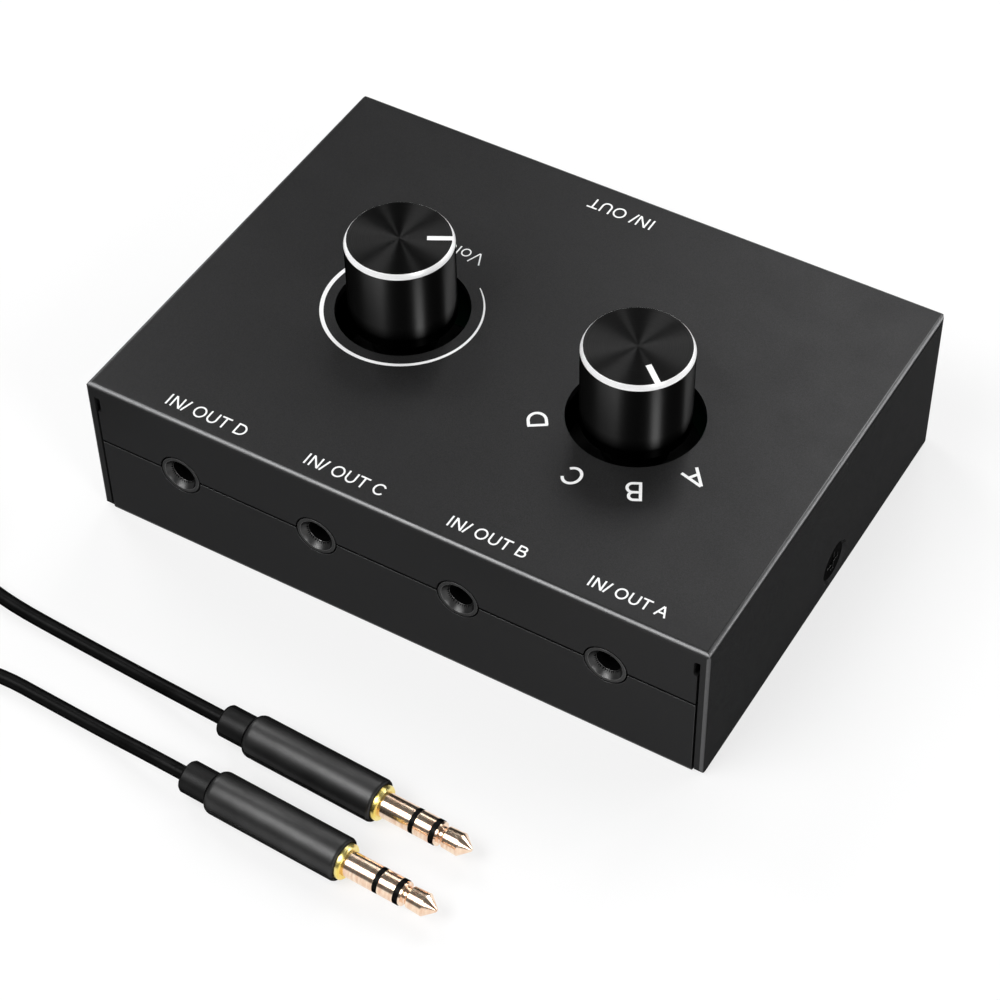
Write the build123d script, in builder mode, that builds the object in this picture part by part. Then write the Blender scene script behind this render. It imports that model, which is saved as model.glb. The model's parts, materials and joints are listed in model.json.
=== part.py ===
from build123d import *
import os
from math import asin, atan, copysign, cos, degrees, pi, radians, sin, sqrt, tan

# A passive audio selector box: four jacks on the front, one on the back, a volume
# dial and a four-way selector dial on top, and the plug-to-plug lead beside it.
# Millimetres. +Z is up, the four-jack face looks along -Y, and the origin is the
# middle of the case's underside.

# ---- Case ----
case_width = 95.0
case_depth = 70.2
case_height = 24.6
sheet = 1.2                 # folded sheet of both case halves
bend_radius = 0.8           # outside radius of every fold
inner_bend = 0.4            # inside radius of the cover's folds
flap_gap = 0.35             # slot between a flap and the side wall's edge
seam_gap = 0.3              # line where the cover's flap meets the tray's flap
tray_fit = 0.15             # tray edge to side wall
relief_width = 0.9          # rounded bend-relief notch at each flap's top corner
relief_length = 2.6
relief_drop = 2.2           # from the case's top to the notch
wall_corner = 1.4           # rounded lower corners of the side walls
side_tab_height = 8.0       # tray tabs inside the side walls, which take the screws
side_tab_length = 34.0

# ---- Board ----
standoff_length = 7.7
standoff_diameter = 5.0
standoff_rivet = 3.5        # turned-down end, flush in the tray's floor
rivet_fit = 0.05
board_thickness = 1.6
board_wall_gap = 1.6        # board edge to tray tab
board_flap_gap = 1.0        # board edge to flap
board_corner = 2.0
mount_inset = 3.6           # board screw to board edge, in X
mount_row = 26.0            # board screw row from the middle, in Y
board_screw_diameter = 2.5
board_screw_head = 4.4
board_screw_head_height = 1.5
board_screw_grip = 4.0      # thread length inside the standoff
screw_hole_fit = 0.15
pin_hole_fit = 0.15
pin_tail = 1.2              # solder tail below the board

# ---- Side screws ----
side_screw_diameter = 3.0
side_screw_head = 6.0
side_screw_sink = 0.3       # head below the side wall's face
countersink_diameter = 6.9  # at the side wall's face
side_screw_length = 5.0
side_screw_height = 3.9
side_screw_y = 3.5
thread_fit = 0.05
cross_width = 0.7
cross_span = 3.2
cross_depth = 0.8

# ---- Jacks ----
jack_count = 4
jack_margin = 14.5          # outer jacks' axes to the case's sides
jack_width = 9.0
jack_height = 7.0
jack_rise = 3.5             # jack axis above the board
jack_body_length = 13.4
nose_diameter = 6.0
nose_gap = 0.25             # ring between the nose and the case halves
nose_behind = 0.3           # nose shoulder behind the flap
bore_diameter = 3.6
mouth_diameter = 5.3
mouth_depth = 0.9
barrel_length = 5.2         # full round bore, from the nose's face
jack_wall = 1.0
jack_floor = 0.9
leaf_thickness = 0.3
leaf_width = 2.0
leaf_length = 3.2
leaf_bend = 0.7             # crest to the foot of its slope
leaf_gap = 0.3              # barrel to the first leaf
leaf_clearance = 0.08       # leaf crest to a seated plug
terminal_width = 0.8
terminal_thickness = 0.3
terminal_fit = 0.05

# ---- Dials ----
volume_margin = 29.5        # volume dial's axis to the case's left side
volume_y = -1.3
selector_margin = 27.7      # selector's axis to the case's right side
selector_y = -3.4
panel_hole = 19.0
knob_diameter = 15.2
knob_rise = 12.95           # knob top above the panel
knob_sink = 0.8             # knob foot below the panel's face
knob_cap = 2.2              # metal over the core
knob_wall = 1.6
rim_drop = 0.75             # bright rim, measured down the side
rim_width = 0.4             # bright rim, measured across the top
foot_chamfer = 0.25
pointer_width = 0.8
pointer_length = 3.45
pointer_depth = 0.3
core_fit = 0.05
core_lift = 0.5             # core's foot above the knob's foot
shaft_diameter = 6.0
shaft_flat = 1.5            # flat's distance from the axis
shaft_flat_length = 9.0
shaft_fit = 0.03
shaft_end_gap = 0.4

# ---- Control bodies, shared by both dials ----
wafer_thickness = 1.2
control_height = 7.0        # cup above the wafer
cup_wall = 0.6
cup_lid = 1.0
bushing_diameter = 7.6
bushing_flange = 9.6
bushing_flange_height = 1.0
bushing_headroom = 0.5      # bushing's end below the panel
bushing_fit = 0.05
running_fit = 0.05
end_play = 0.2
collar_diameter = 8.4
collar_height = 0.8
spigot_diameter = 3.0
wiper_thickness = 0.25
wiper_gap = 0.1             # finger tip to its track
finger_size = 0.7
stop_play = 1.5             # degrees left at each stop

# ---- Volume control ----
volume_body = 12.0
volume_rotor_diameter = 8.6
volume_rotor_height = 2.4
volume_pointer_angle = 29.0   # pointer at rest, from +X
volume_start_angle = 50.0     # pointer at the quiet stop
volume_travel = 280.0
lug_width = 1.4
lug_length = 0.8
track_thickness = 0.12
track_width = 0.8
track_radii = (2.6, 4.0)
volume_terminal_pitch = 2.0
volume_terminal_count = 6

# ---- Selector switch ----
selector_body = 18.0
detent_radius = 7.2
stop_groove_radius = 8.4
selector_rotor_diameter = 13.4
selector_rotor_height = 3.5
selector_lug_height = 0.8
selector_pointer_angle = -41.0   # pointer at position A
detent_pitch = 30.0
position_count = 4
ball_diameter = 2.2
ball_gap = 0.05
ball_bore_fit = 0.06
notch_radius = 1.3
notch_depth = 0.45
spring_wire = 0.25
spring_turns = 5
contact_ring_radius = 2.75
contact_radius = 5.0
contact_head = 1.5
contact_head_height = 0.15
contact_tail = 0.6

# ---- Lead ----
cord_diameter = 2.0
plug_diameter = 6.0
plug_shell_length = 20.2
plug_shell_wall = 0.5
plug_shell_taper = 0.9      # rounded-off rear of the shell
shell_edge = 0.4
relief_diameter = 4.5
relief_visible = 4.5
flange_diameter = 4.9
flange_length = 1.5
flange_stand = 0.7          # flange in front of the shell
contact_diameter = 3.5
core_diameter = 2.4
rod_diameter = 1.2
sleeve_length = 4.55
insulator_length = 0.7
ring_length = 2.35
tip_length = 4.9
tip_collar = 3.3            # short collar in front of the insulator
tip_collar_length = 0.35
tip_waist = 2.4             # groove that the jack's spring drops into
tip_waist_end = 0.85        # distances forward of the insulator
tip_body = 2.95
tip_body_start = 1.1
tip_belly = 3.15
tip_belly_at = 3.3
tip_end = 0.5
plug_heading = -2.3         # degrees from +X
plug_points = ((-9.7, -60.05), (-8.8, -69.95))   # where each cord enters its plug
plug_stub = 6.0             # straight cord behind each plug
coil_centre = (-72.5, -62.5)
coil_mean_radius = 12.0
coil_columns = 3
coil_layers = 4
tail_step = 2.0             # the last half turn comes down outside the others
tie_thickness = 0.5
tie_width = 4.0
tie_fit = 0.05

# ---- Values worked out from the above ----
half_width = case_width / 2
half_depth = case_depth / 2
volume_x = volume_margin - half_width
selector_x = half_width - selector_margin
panel_under = case_height - sheet
flap_half = half_width - sheet - flap_gap
tray_half = half_width - sheet - tray_fit
tab_inside = tray_half - sheet
board_bottom = sheet + standoff_length
board_top = board_bottom + board_thickness
board_half_x = tab_inside - board_wall_gap
board_half_y = half_depth - sheet - board_flap_gap
mount_x = board_half_x - mount_inset
jack_axis = board_top + jack_rise
nose_length = sheet + nose_behind
seam_height = jack_axis
wafer_top = board_top + wafer_thickness
cup_top = wafer_top + control_height
lid_under = cup_top - cup_lid
bushing_top = panel_under - bushing_headroom
collar_top = lid_under - end_play
collar_bottom = collar_top - collar_height
knob_radius = knob_diameter / 2
knob_top = case_height + knob_rise
knob_bottom = case_height - knob_sink
core_top = knob_top - knob_cap
core_bottom = knob_bottom + core_lift
core_radius = knob_radius - knob_wall - core_fit
shaft_top = core_top - 2 * shaft_end_gap
shaft_radius = shaft_diameter / 2
tail_bottom = board_bottom - pin_tail
jack_pitch = (case_width - 2 * jack_margin) / (jack_count - 1)
jack_points = [((i - (jack_count - 1) / 2) * jack_pitch, 1) for i in range(jack_count)] + [(0.0, -1)]
jack_names = ["d", "c", "b", "a", "rear"]
coil_outer = coil_mean_radius + coil_columns * cord_diameter / 2
coil_inner = coil_mean_radius - coil_columns * cord_diameter / 2
coil_bottom = tie_thickness
coil_top = coil_bottom + coil_layers * cord_diameter

os.makedirs("parts", exist_ok=True)


def save(built, label):
    """Name a finished piece and write it."""
    built.part.label = label
    export_step(built.part, f"parts/{label}.step")


def level(height):
    """Horizontal plane at a height."""
    return Plane.XY.offset(height)


def at_dial(x, y, height, angle=0.0):
    """Horizontal plane on a dial's axis, turned about it."""
    return Plane(origin=(x, y, height), z_dir=(0, 0, 1)).rotated((0, 0, angle))


def jack_plane(x, inward, depth=0.0):
    """Plane across a jack's bore: local X sideways, local Y up, local Z into the case."""
    return Plane(origin=(x, inward * (depth - half_depth), jack_axis),
                 x_dir=(-inward, 0, 0), z_dir=(0, inward, 0))


def side_plane(side, depth=0.0):
    """Plane across a side screw, a distance in from the side wall's face, pointing inward."""
    return Plane(origin=(side * (half_width - depth), side_screw_y, side_screw_height), z_dir=(-side, 0, 0))


def around(radius, angle):
    """Point on a circle about the local origin."""
    return radius * cos(radians(angle)), radius * sin(radians(angle))


# ---- Case halves ----
# the round holes that the jack noses stand in
with BuildPart() as jack_holes:
    for x, inward in jack_points:
        with BuildSketch(jack_plane(x, inward, -bend_radius)):
            Circle(nose_diameter / 2 + nose_gap)
        extrude(amount=sheet + 2 * bend_radius)


with BuildPart() as top_cover:
    with BuildSketch(level(0)):
        Rectangle(case_width, case_depth)
    extrude(amount=case_height)
    fillet(top_cover.faces().sort_by(Axis.Z)[-1].edges(), bend_radius)
    with BuildPart(mode=Mode.SUBTRACT) as hollow:
        with BuildSketch(level(-sheet)):
            Rectangle(case_width - 2 * sheet, case_depth - 2 * sheet)
        extrude(amount=panel_under + sheet)
        fillet(hollow.faces().sort_by(Axis.Z)[-1].edges(), inner_bend)
    # front and back are open below the seam, between the side walls
    with BuildSketch(level(-sheet)):
        Rectangle(case_width - 2 * sheet, case_depth + sheet)
    extrude(amount=seam_height + seam_gap / 2 + sheet, mode=Mode.SUBTRACT)
    # a slot and a rounded relief notch beside each end of both flaps
    relief_top = case_height - relief_drop
    for side in (-1, 1):
        with BuildSketch(Plane.XZ.offset(-case_depth)):
            with Locations((side * (flap_half + flap_gap / 2), relief_top / 2)):
                Rectangle(flap_gap, relief_top)
            relief_x = flap_half + flap_gap - relief_width / 2
            with Locations((side * relief_x, relief_top - relief_length / 2)):
                SlotOverall(relief_length, relief_width, rotation=90)
        extrude(amount=2 * case_depth, mode=Mode.SUBTRACT)
    # rounded lower corners of the side walls
    fillet(top_cover.edges().filter_by(Axis.X).group_by(Axis.Z)[0], wall_corner)
    for x, y in ((volume_x, volume_y), (selector_x, selector_y)):
        with BuildSketch(at_dial(x, y, panel_under - sheet)):
            Circle(panel_hole / 2)
        extrude(amount=3 * sheet, mode=Mode.SUBTRACT)
    add(jack_holes.part, mode=Mode.SUBTRACT)
    # countersunk holes for the side screws
    for side in (-1, 1):
        with BuildSketch(side_plane(side)):
            Circle(countersink_diameter / 2)
        cone = countersink_diameter / 2 - side_screw_diameter / 2 - screw_hole_fit
        extrude(amount=sheet, taper=degrees(atan(cone / sheet)), mode=Mode.SUBTRACT)
        with BuildSketch(side_plane(side)):
            Circle(side_screw_diameter / 2 + screw_hole_fit)
        extrude(amount=sheet, mode=Mode.SUBTRACT)
save(top_cover, "top_cover")

mount_points = [(sx * mount_x, sy * mount_row) for sx in (-1, 1) for sy in (-1, 1)]

with BuildPart() as base_tray:
    # floor and both flaps in one folded strip, open at the top
    flap_top = seam_height - seam_gap / 2
    with BuildSketch(Plane.YZ.offset(-flap_half)) as folded:
        with BuildLine():
            Polyline((-half_depth, flap_top), (-half_depth, 0), (half_depth, 0), (half_depth, flap_top),
                     (half_depth - sheet, flap_top), (half_depth - sheet, sheet), (sheet - half_depth, sheet),
                     (sheet - half_depth, flap_top), close=True)
        make_face()
        fillet(folded.vertices().group_by(Axis.Y)[1], inner_bend)
        fillet(folded.vertices().group_by(Axis.Y)[0], bend_radius)
    extrude(amount=2 * flap_half)
    with BuildSketch(level(0)):
        Rectangle(2 * tray_half, case_depth - 4 * bend_radius)
    extrude(amount=sheet)
    # tabs inside the side walls
    for side in (-1, 1):
        with BuildSketch(level(0)):
            with Locations((side * (tray_half - sheet / 2), side_screw_y)):
                Rectangle(sheet, side_tab_length)
        extrude(amount=side_tab_height)
        with BuildSketch(side_plane(side, half_width - tray_half)):
            Circle(side_screw_diameter / 2 + thread_fit)
        extrude(amount=sheet, mode=Mode.SUBTRACT)
    add(jack_holes.part, mode=Mode.SUBTRACT)
    with BuildSketch(level(0)):
        with Locations(*mount_points):
            Circle(standoff_rivet / 2 + rivet_fit)
    extrude(amount=sheet, mode=Mode.SUBTRACT)
save(base_tray, "base_tray")


def cross_recess(face_plane):
    """Cross-shaped recess, from the plane on a screw's face into its head."""
    with BuildPart() as recess:
        with BuildSketch(face_plane):
            Rectangle(cross_span, cross_width)
            Rectangle(cross_width, cross_span)
        extrude(amount=cross_depth)
    return recess.part


with BuildPart() as side_screws:
    for side in (-1, 1):
        face = side_plane(side, side_screw_sink)
        with BuildSketch(face):
            Circle(side_screw_head / 2 - thread_fit)
        cone = side_screw_head / 2 - thread_fit - side_screw_diameter / 2
        head_height = sheet - side_screw_sink
        extrude(amount=head_height, taper=degrees(atan(cone / head_height)))
        with BuildSketch(face):
            Circle(side_screw_diameter / 2)
        extrude(amount=side_screw_length)
        add(cross_recess(face), mode=Mode.SUBTRACT)
save(side_screws, "side_screws")

# ---- Circuit board and what carries it ----
with BuildPart() as board_standoffs:
    with BuildSketch(level(0)):
        with Locations(*mount_points):
            Circle(standoff_rivet / 2)
    extrude(amount=sheet)
    with BuildSketch(level(sheet)):
        with Locations(*mount_points):
            RegularPolygon(standoff_diameter / 2, 6, major_radius=False)
    extrude(amount=standoff_length)
    with BuildSketch(level(board_bottom - board_screw_grip - pin_tail)):
        with Locations(*mount_points):
            Circle(board_screw_diameter / 2 + thread_fit)
    extrude(amount=board_screw_grip + pin_tail, mode=Mode.SUBTRACT)
save(board_standoffs, "board_standoffs")

with BuildPart() as board_screws:
    for x, y in mount_points:
        head_face = Plane(origin=(x, y, board_top + board_screw_head_height), z_dir=(0, 0, -1))
        with BuildSketch(head_face):
            Circle(board_screw_head / 2)
        extrude(amount=board_screw_head_height)
        rims = board_screws.edges().filter_by(GeomType.CIRCLE).group_by(Axis.Z)[-1]
        fillet(rims.sort_by_distance((x, y, 0))[0], board_screw_head_height / 3)
        with BuildSketch(Plane(origin=(x, y, board_top), z_dir=(0, 0, -1))):
            Circle(board_screw_diameter / 2)
        extrude(amount=board_thickness + board_screw_grip)
        add(cross_recess(head_face), mode=Mode.SUBTRACT)
save(board_screws, "board_screws")


# Each jack has three leaf contacts. A contact is where its terminal stands, sideways
# and inward, and the side of the cavity that its leaf lies on.
cavity_half_x = jack_width / 2 - jack_wall
cavity_floor = jack_floor - jack_rise
cavity_roof = jack_height - jack_rise - jack_wall
jack_end = nose_length + jack_body_length
leaf_crest = contact_diameter / 2 + leaf_clearance
sleeve_leaf = barrel_length + leaf_gap
ring_leaf = sleeve_leaf + leaf_length / 2
tip_leaf = jack_end - jack_wall - leaf_length - leaf_gap
jack_contacts = ((0, sleeve_leaf), (1, ring_leaf), (-1, tip_leaf))


def terminal_spot(side, start):
    """A leaf terminal's place across the jack and inward from its face."""
    across = side * (cavity_half_x - leaf_thickness / 2)
    return across, start + leaf_length / 2


def jack_terminal_points():
    """Every jack terminal's X and Y on the board."""
    spots = []
    for x, inward in jack_points:
        for side, start in jack_contacts:
            across, depth = terminal_spot(side, start)
            spots.append((x - inward * across, inward * (depth - half_depth)))
    return spots


volume_terminals_y = -(volume_body / 2 - cup_wall - terminal_width)
volume_terminal_spots = [((i - (volume_terminal_count - 1) / 2) * volume_terminal_pitch, volume_terminals_y)
                         for i in range(volume_terminal_count)]
contact_angles = [selector_pointer_angle - i * detent_pitch + turn
                  for turn in (0, 180) for i in range(position_count)]
selector_spots = [around(contact_radius, angle) for angle in contact_angles]
common_spots = [(0, contact_ring_radius), (0, -contact_ring_radius)]

with BuildPart() as circuit_board:
    with BuildSketch(level(board_bottom)):
        RectangleRounded(2 * board_half_x, 2 * board_half_y, board_corner)
        with Locations(*mount_points):
            Circle(board_screw_diameter / 2 + screw_hole_fit, mode=Mode.SUBTRACT)
        with Locations(*jack_terminal_points()):
            Circle(terminal_width / 2 + pin_hole_fit, mode=Mode.SUBTRACT)
        with Locations(*[(volume_x + x, volume_y + y) for x, y in volume_terminal_spots]):
            Circle(terminal_width / 2 + pin_hole_fit, mode=Mode.SUBTRACT)
        with Locations(*[(selector_x + x, selector_y + y) for x, y in selector_spots + common_spots]):
            Circle(contact_tail / 2 + pin_hole_fit, mode=Mode.SUBTRACT)
    extrude(amount=board_thickness)
save(circuit_board, "circuit_board")


# ---- Jacks ----
def make_jack_housing(x, inward, label):
    """Moulded jack: round nose with a coned mouth, and a block with a contact cavity."""
    with BuildPart() as housing:
        with BuildSketch(jack_plane(x, inward)):
            Circle(nose_diameter / 2)
        extrude(amount=nose_length)
        with BuildSketch(jack_plane(x, inward, nose_length)):
            with Locations((0, jack_height / 2 - jack_rise)):
                Rectangle(jack_width, jack_height)
        extrude(amount=jack_body_length)
        with BuildSketch(jack_plane(x, inward, barrel_length)):
            with Locations((0, (cavity_floor + cavity_roof) / 2)):
                Rectangle(2 * cavity_half_x, cavity_roof - cavity_floor)
        extrude(amount=jack_end - jack_wall - barrel_length, mode=Mode.SUBTRACT)
        with BuildSketch(jack_plane(x, inward)):
            Circle(bore_diameter / 2)
        extrude(amount=barrel_length, mode=Mode.SUBTRACT)
        with BuildSketch(jack_plane(x, inward)):
            Circle(mouth_diameter / 2)
        mouth_slope = degrees(atan((mouth_diameter - bore_diameter) / 2 / mouth_depth))
        extrude(amount=mouth_depth, taper=mouth_slope, mode=Mode.SUBTRACT)
        # slots in the floor for the terminals
        for side, start in jack_contacts:
            across, depth = terminal_spot(side, start)
            with BuildSketch(level(board_top)):
                with Locations((x - inward * across, inward * (depth - half_depth))):
                    Rectangle(terminal_thickness + 2 * terminal_fit, terminal_width + 2 * terminal_fit)
            extrude(amount=jack_floor, mode=Mode.SUBTRACT)
    save(housing, label)


def make_jack_contacts(x, inward, label):
    """Three sprung leaves, drawn pushed back as by a seated plug, with their terminals."""
    with BuildPart() as contacts:
        for side, start in jack_contacts:
            across, depth = terminal_spot(side, start)
            crest = start + leaf_length / 2
            if side == 0:
                # the sleeve's leaf lies on the floor and crests upward
                leaf_plane = Plane(origin=(x - inward * leaf_width / 2, -inward * half_depth, jack_axis),
                                   x_dir=(0, inward, 0), z_dir=(inward, 0, 0))
                foot, top = cavity_floor, -leaf_crest
                terminal_top = jack_axis + cavity_floor
            else:
                # the ring's and the tip's leaves stand on the side walls
                leaf_plane = Plane(origin=(x, -inward * half_depth, jack_axis - leaf_width / 2),
                                   x_dir=(0, inward, 0), z_dir=(0, 0, 1))
                foot, top = side * cavity_half_x, side * leaf_crest
                terminal_top = jack_axis
            back = foot + copysign(leaf_thickness, top - foot)
            with BuildSketch(leaf_plane):
                with BuildLine():
                    Polyline((start, foot), (start + leaf_length, foot), (start + leaf_length, back),
                             (crest + leaf_bend, back), (crest, top), (crest - leaf_bend, back),
                             (start, back), close=True)
                make_face()
            extrude(amount=leaf_width)
            with BuildSketch(level(tail_bottom)):
                with Locations((x - inward * across, inward * (depth - half_depth))):
                    Rectangle(terminal_thickness, terminal_width)
            extrude(amount=terminal_top - tail_bottom)
    save(contacts, label)


for (jack_x, jack_inward), jack_name in zip(jack_points, jack_names):
    make_jack_housing(jack_x, jack_inward, f"jack_housing_{jack_name}")
    make_jack_contacts(jack_x, jack_inward, f"jack_contacts_{jack_name}")


# ---- Pieces that both dials have ----
def make_knob(x, y, angle, label):
    """Turned knob with a bright bevelled rim, a blind cavity and a groove for the pointer."""
    cavity_radius = knob_radius - knob_wall
    with BuildPart() as knob:
        with BuildSketch(Plane(origin=(x, y, 0), x_dir=(1, 0, 0), z_dir=(0, -1, 0))):
            with BuildLine():
                Polyline((0, knob_top), (knob_radius - rim_width, knob_top),
                         (knob_radius, knob_top - rim_drop), (knob_radius, knob_bottom + foot_chamfer),
                         (knob_radius - foot_chamfer, knob_bottom),
                         (cavity_radius, knob_bottom), (cavity_radius, core_top), (0, core_top), close=True)
            make_face()
        revolve(axis=Axis((x, y, 0), (0, 0, 1)))
        with BuildSketch(at_dial(x, y, knob_top - pointer_depth, angle)):
            with Locations((knob_radius - rim_width - pointer_length / 2, 0)):
                Rectangle(pointer_length, pointer_width)
        extrude(amount=pointer_depth, mode=Mode.SUBTRACT)
    save(knob, label)


def make_pointer(x, y, angle, label):
    """Filled pointer line, flush in the knob's groove."""
    with BuildPart() as pointer:
        with BuildSketch(at_dial(x, y, knob_top - pointer_depth, angle)):
            with Locations((knob_radius - rim_width - pointer_length / 2, 0)):
                Rectangle(pointer_length, pointer_width)
        extrude(amount=pointer_depth)
    save(pointer, label)


def flat_shaft_sketch(radius, flat):
    """Round section with one flat, drawn in the open sketch."""
    Circle(radius)
    with Locations((flat + radius, 0)):
        Rectangle(2 * radius, 2 * radius, mode=Mode.SUBTRACT)


def make_core(x, y, angle, label):
    """Moulded core inside the knob, with a bore that grips the shaft's flat."""
    with BuildPart() as core:
        with BuildSketch(at_dial(x, y, core_bottom)):
            Circle(core_radius)
        extrude(amount=core_top - core_bottom)
        with BuildSketch(at_dial(x, y, core_bottom)):
            Circle(shaft_radius + running_fit)
        extrude(amount=shaft_top - shaft_flat_length - core_bottom, mode=Mode.SUBTRACT)
        with BuildSketch(at_dial(x, y, core_bottom, angle)):
            flat_shaft_sketch(shaft_radius + shaft_fit, shaft_flat + shaft_fit)
        extrude(amount=shaft_top + shaft_end_gap - core_bottom, mode=Mode.SUBTRACT)
    save(core, label)


def make_shaft(x, y, angle, spigot_bottom, label):
    """Steel shaft: flatted top, round bearing length, collar under the lid and a spigot."""
    with BuildPart() as shaft:
        with BuildSketch(at_dial(x, y, collar_top)):
            Circle(shaft_radius)
        extrude(amount=shaft_top - shaft_flat_length - collar_top)
        with BuildSketch(at_dial(x, y, shaft_top - shaft_flat_length, angle)):
            flat_shaft_sketch(shaft_radius, shaft_flat)
        extrude(amount=shaft_flat_length)
        with BuildSketch(at_dial(x, y, collar_bottom)):
            Circle(collar_diameter / 2)
        extrude(amount=collar_height)
        with BuildSketch(at_dial(x, y, spigot_bottom)):
            Circle(spigot_diameter / 2)
        extrude(amount=collar_bottom - spigot_bottom)
    save(shaft, label)


def make_bushing(x, y, label):
    """Flanged bearing that stands in the cup's lid and reaches up to the panel."""
    with BuildPart() as bushing:
        with BuildSketch(at_dial(x, y, lid_under)):
            Circle(bushing_diameter / 2)
        extrude(amount=bushing_top - lid_under)
        with BuildSketch(at_dial(x, y, cup_top)):
            Circle(bushing_flange / 2)
        extrude(amount=bushing_flange_height)
        with BuildSketch(at_dial(x, y, lid_under)):
            Circle(shaft_radius + running_fit)
        extrude(amount=bushing_top - lid_under, mode=Mode.SUBTRACT)
    save(bushing, label)


for prefix, dial_x, dial_y, rest_angle in (("volume", volume_x, volume_y, volume_pointer_angle),
                                           ("selector", selector_x, selector_y, selector_pointer_angle)):
    make_knob(dial_x, dial_y, rest_angle, f"{prefix}_knob")
    make_pointer(dial_x, dial_y, rest_angle, f"{prefix}_pointer")
    make_core(dial_x, dial_y, rest_angle, f"{prefix}_knob_core")
    make_bushing(dial_x, dial_y, f"{prefix}_bushing")

# ---- Volume control ----
volume_rotor_bottom = collar_bottom - volume_rotor_height
volume_rotor_radius = volume_rotor_diameter / 2
cup_inside = volume_body / 2 - cup_wall
make_shaft(volume_x, volume_y, volume_pointer_angle, volume_rotor_bottom, "volume_shaft")

with BuildPart() as volume_wafer:
    with BuildSketch(at_dial(volume_x, volume_y, board_top)):
        Rectangle(volume_body, volume_body)
        with Locations(*volume_terminal_spots):
            Rectangle(terminal_width + 2 * terminal_fit, terminal_thickness + 2 * terminal_fit,
                      mode=Mode.SUBTRACT)
    extrude(amount=wafer_thickness)
save(volume_wafer, "volume_wafer")

with BuildPart() as volume_terminals:
    with BuildSketch(at_dial(volume_x, volume_y, tail_bottom)):
        with Locations(*volume_terminal_spots):
            Rectangle(terminal_width, terminal_thickness)
    extrude(amount=wafer_top - tail_bottom)
save(volume_terminals, "volume_terminals")

# two carbon tracks, open at the front where the terminals are
with BuildPart() as volume_tracks:
    with BuildSketch(at_dial(volume_x, volume_y, wafer_top)):
        for radius in reversed(track_radii):
            Circle(radius + track_width / 2)
            Circle(radius - track_width / 2, mode=Mode.SUBTRACT)
        with Locations((0, -volume_body / 2)):
            Rectangle(track_radii[0], volume_body, mode=Mode.SUBTRACT)
    extrude(amount=track_thickness)
save(volume_tracks, "volume_tracks")

# the lug meets the stop block's flanks at both ends of the travel
lug_radius = volume_rotor_radius + lug_length / 2
lug_half_angle = degrees(asin(lug_width / 2 / lug_radius))
stop_half_angle = (360 - volume_travel) / 2 - lug_half_angle - stop_play
stop_half = lug_radius * sin(radians(stop_half_angle))
stop_middle = volume_start_angle + (360 - volume_travel) / 2 + 180

with BuildPart() as volume_cup:
    with BuildSketch(at_dial(volume_x, volume_y, wafer_top)):
        Rectangle(volume_body, volume_body)
    extrude(amount=control_height)
    with BuildSketch(at_dial(volume_x, volume_y, wafer_top)):
        Rectangle(2 * cup_inside, 2 * cup_inside)
    extrude(amount=control_height - cup_lid, mode=Mode.SUBTRACT)
    with BuildSketch(at_dial(volume_x, volume_y, volume_rotor_bottom, stop_middle)):
        with Locations(((cup_inside + volume_rotor_radius + end_play) / 2, 0)):
            Rectangle(cup_inside - volume_rotor_radius - end_play, 2 * stop_half)
    extrude(amount=lid_under - volume_rotor_bottom)
    with BuildSketch(at_dial(volume_x, volume_y, lid_under)):
        Circle(bushing_diameter / 2 + bushing_fit)
    extrude(amount=cup_lid, mode=Mode.SUBTRACT)
save(volume_cup, "volume_cup")

with BuildPart() as volume_rotor:
    with BuildSketch(at_dial(volume_x, volume_y, volume_rotor_bottom, volume_pointer_angle + 180)):
        Circle(volume_rotor_radius)
        with Locations((volume_rotor_radius + lug_length / 2 - lug_width / 2, 0)):
            Rectangle(lug_length + lug_width, lug_width)
        Circle(spigot_diameter / 2 + shaft_fit, mode=Mode.SUBTRACT)
    extrude(amount=volume_rotor_height)
save(volume_rotor, "volume_rotor")


def make_wiper(x, y, angle, top, plate_radius, radii, finger_bottom, label):
    """Spring-metal plate under a rotor, with one finger down to each track or contact."""
    with BuildPart() as wiper:
        with BuildSketch(at_dial(x, y, top - wiper_thickness, angle)):
            Circle(spigot_diameter / 2 + 0.6)
            for radius in radii:
                with Locations((radius / 2, 0)):
                    Rectangle(abs(radius), finger_size)
            Circle(plate_radius, mode=Mode.INTERSECT)
            Circle(spigot_diameter / 2 + shaft_fit, mode=Mode.SUBTRACT)
        extrude(amount=wiper_thickness)
        with BuildSketch(at_dial(x, y, finger_bottom, angle)):
            for radius in radii:
                with Locations((radius, 0)):
                    Rectangle(finger_size, finger_size)
        extrude(amount=top - finger_bottom)
    save(wiper, label)


make_wiper(volume_x, volume_y, volume_pointer_angle, volume_rotor_bottom, volume_rotor_radius,
           (track_radii[0], -track_radii[0], -track_radii[1]), wafer_top + track_thickness + wiper_gap,
           "volume_wiper")

# ---- Selector switch ----
selector_rotor_bottom = collar_bottom - selector_rotor_height
selector_rotor_radius = selector_rotor_diameter / 2
ball_radius = ball_diameter / 2
ball_height = collar_bottom - selector_rotor_height / 2 + selector_lug_height / 2
ball_centre = detent_radius - ball_gap - ball_radius
lug_reach = (detent_radius + stop_groove_radius) / 2 + wiper_gap
selector_travel = (position_count - 1) * detent_pitch
make_shaft(selector_x, selector_y, selector_pointer_angle, selector_rotor_bottom, "selector_shaft")

with BuildPart() as selector_wafer:
    with BuildSketch(at_dial(selector_x, selector_y, board_top)):
        Circle(selector_body / 2)
        with Locations(*selector_spots, *common_spots):
            Circle(contact_tail / 2 + terminal_fit, mode=Mode.SUBTRACT)
    extrude(amount=wafer_thickness)
save(selector_wafer, "selector_wafer")

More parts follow.
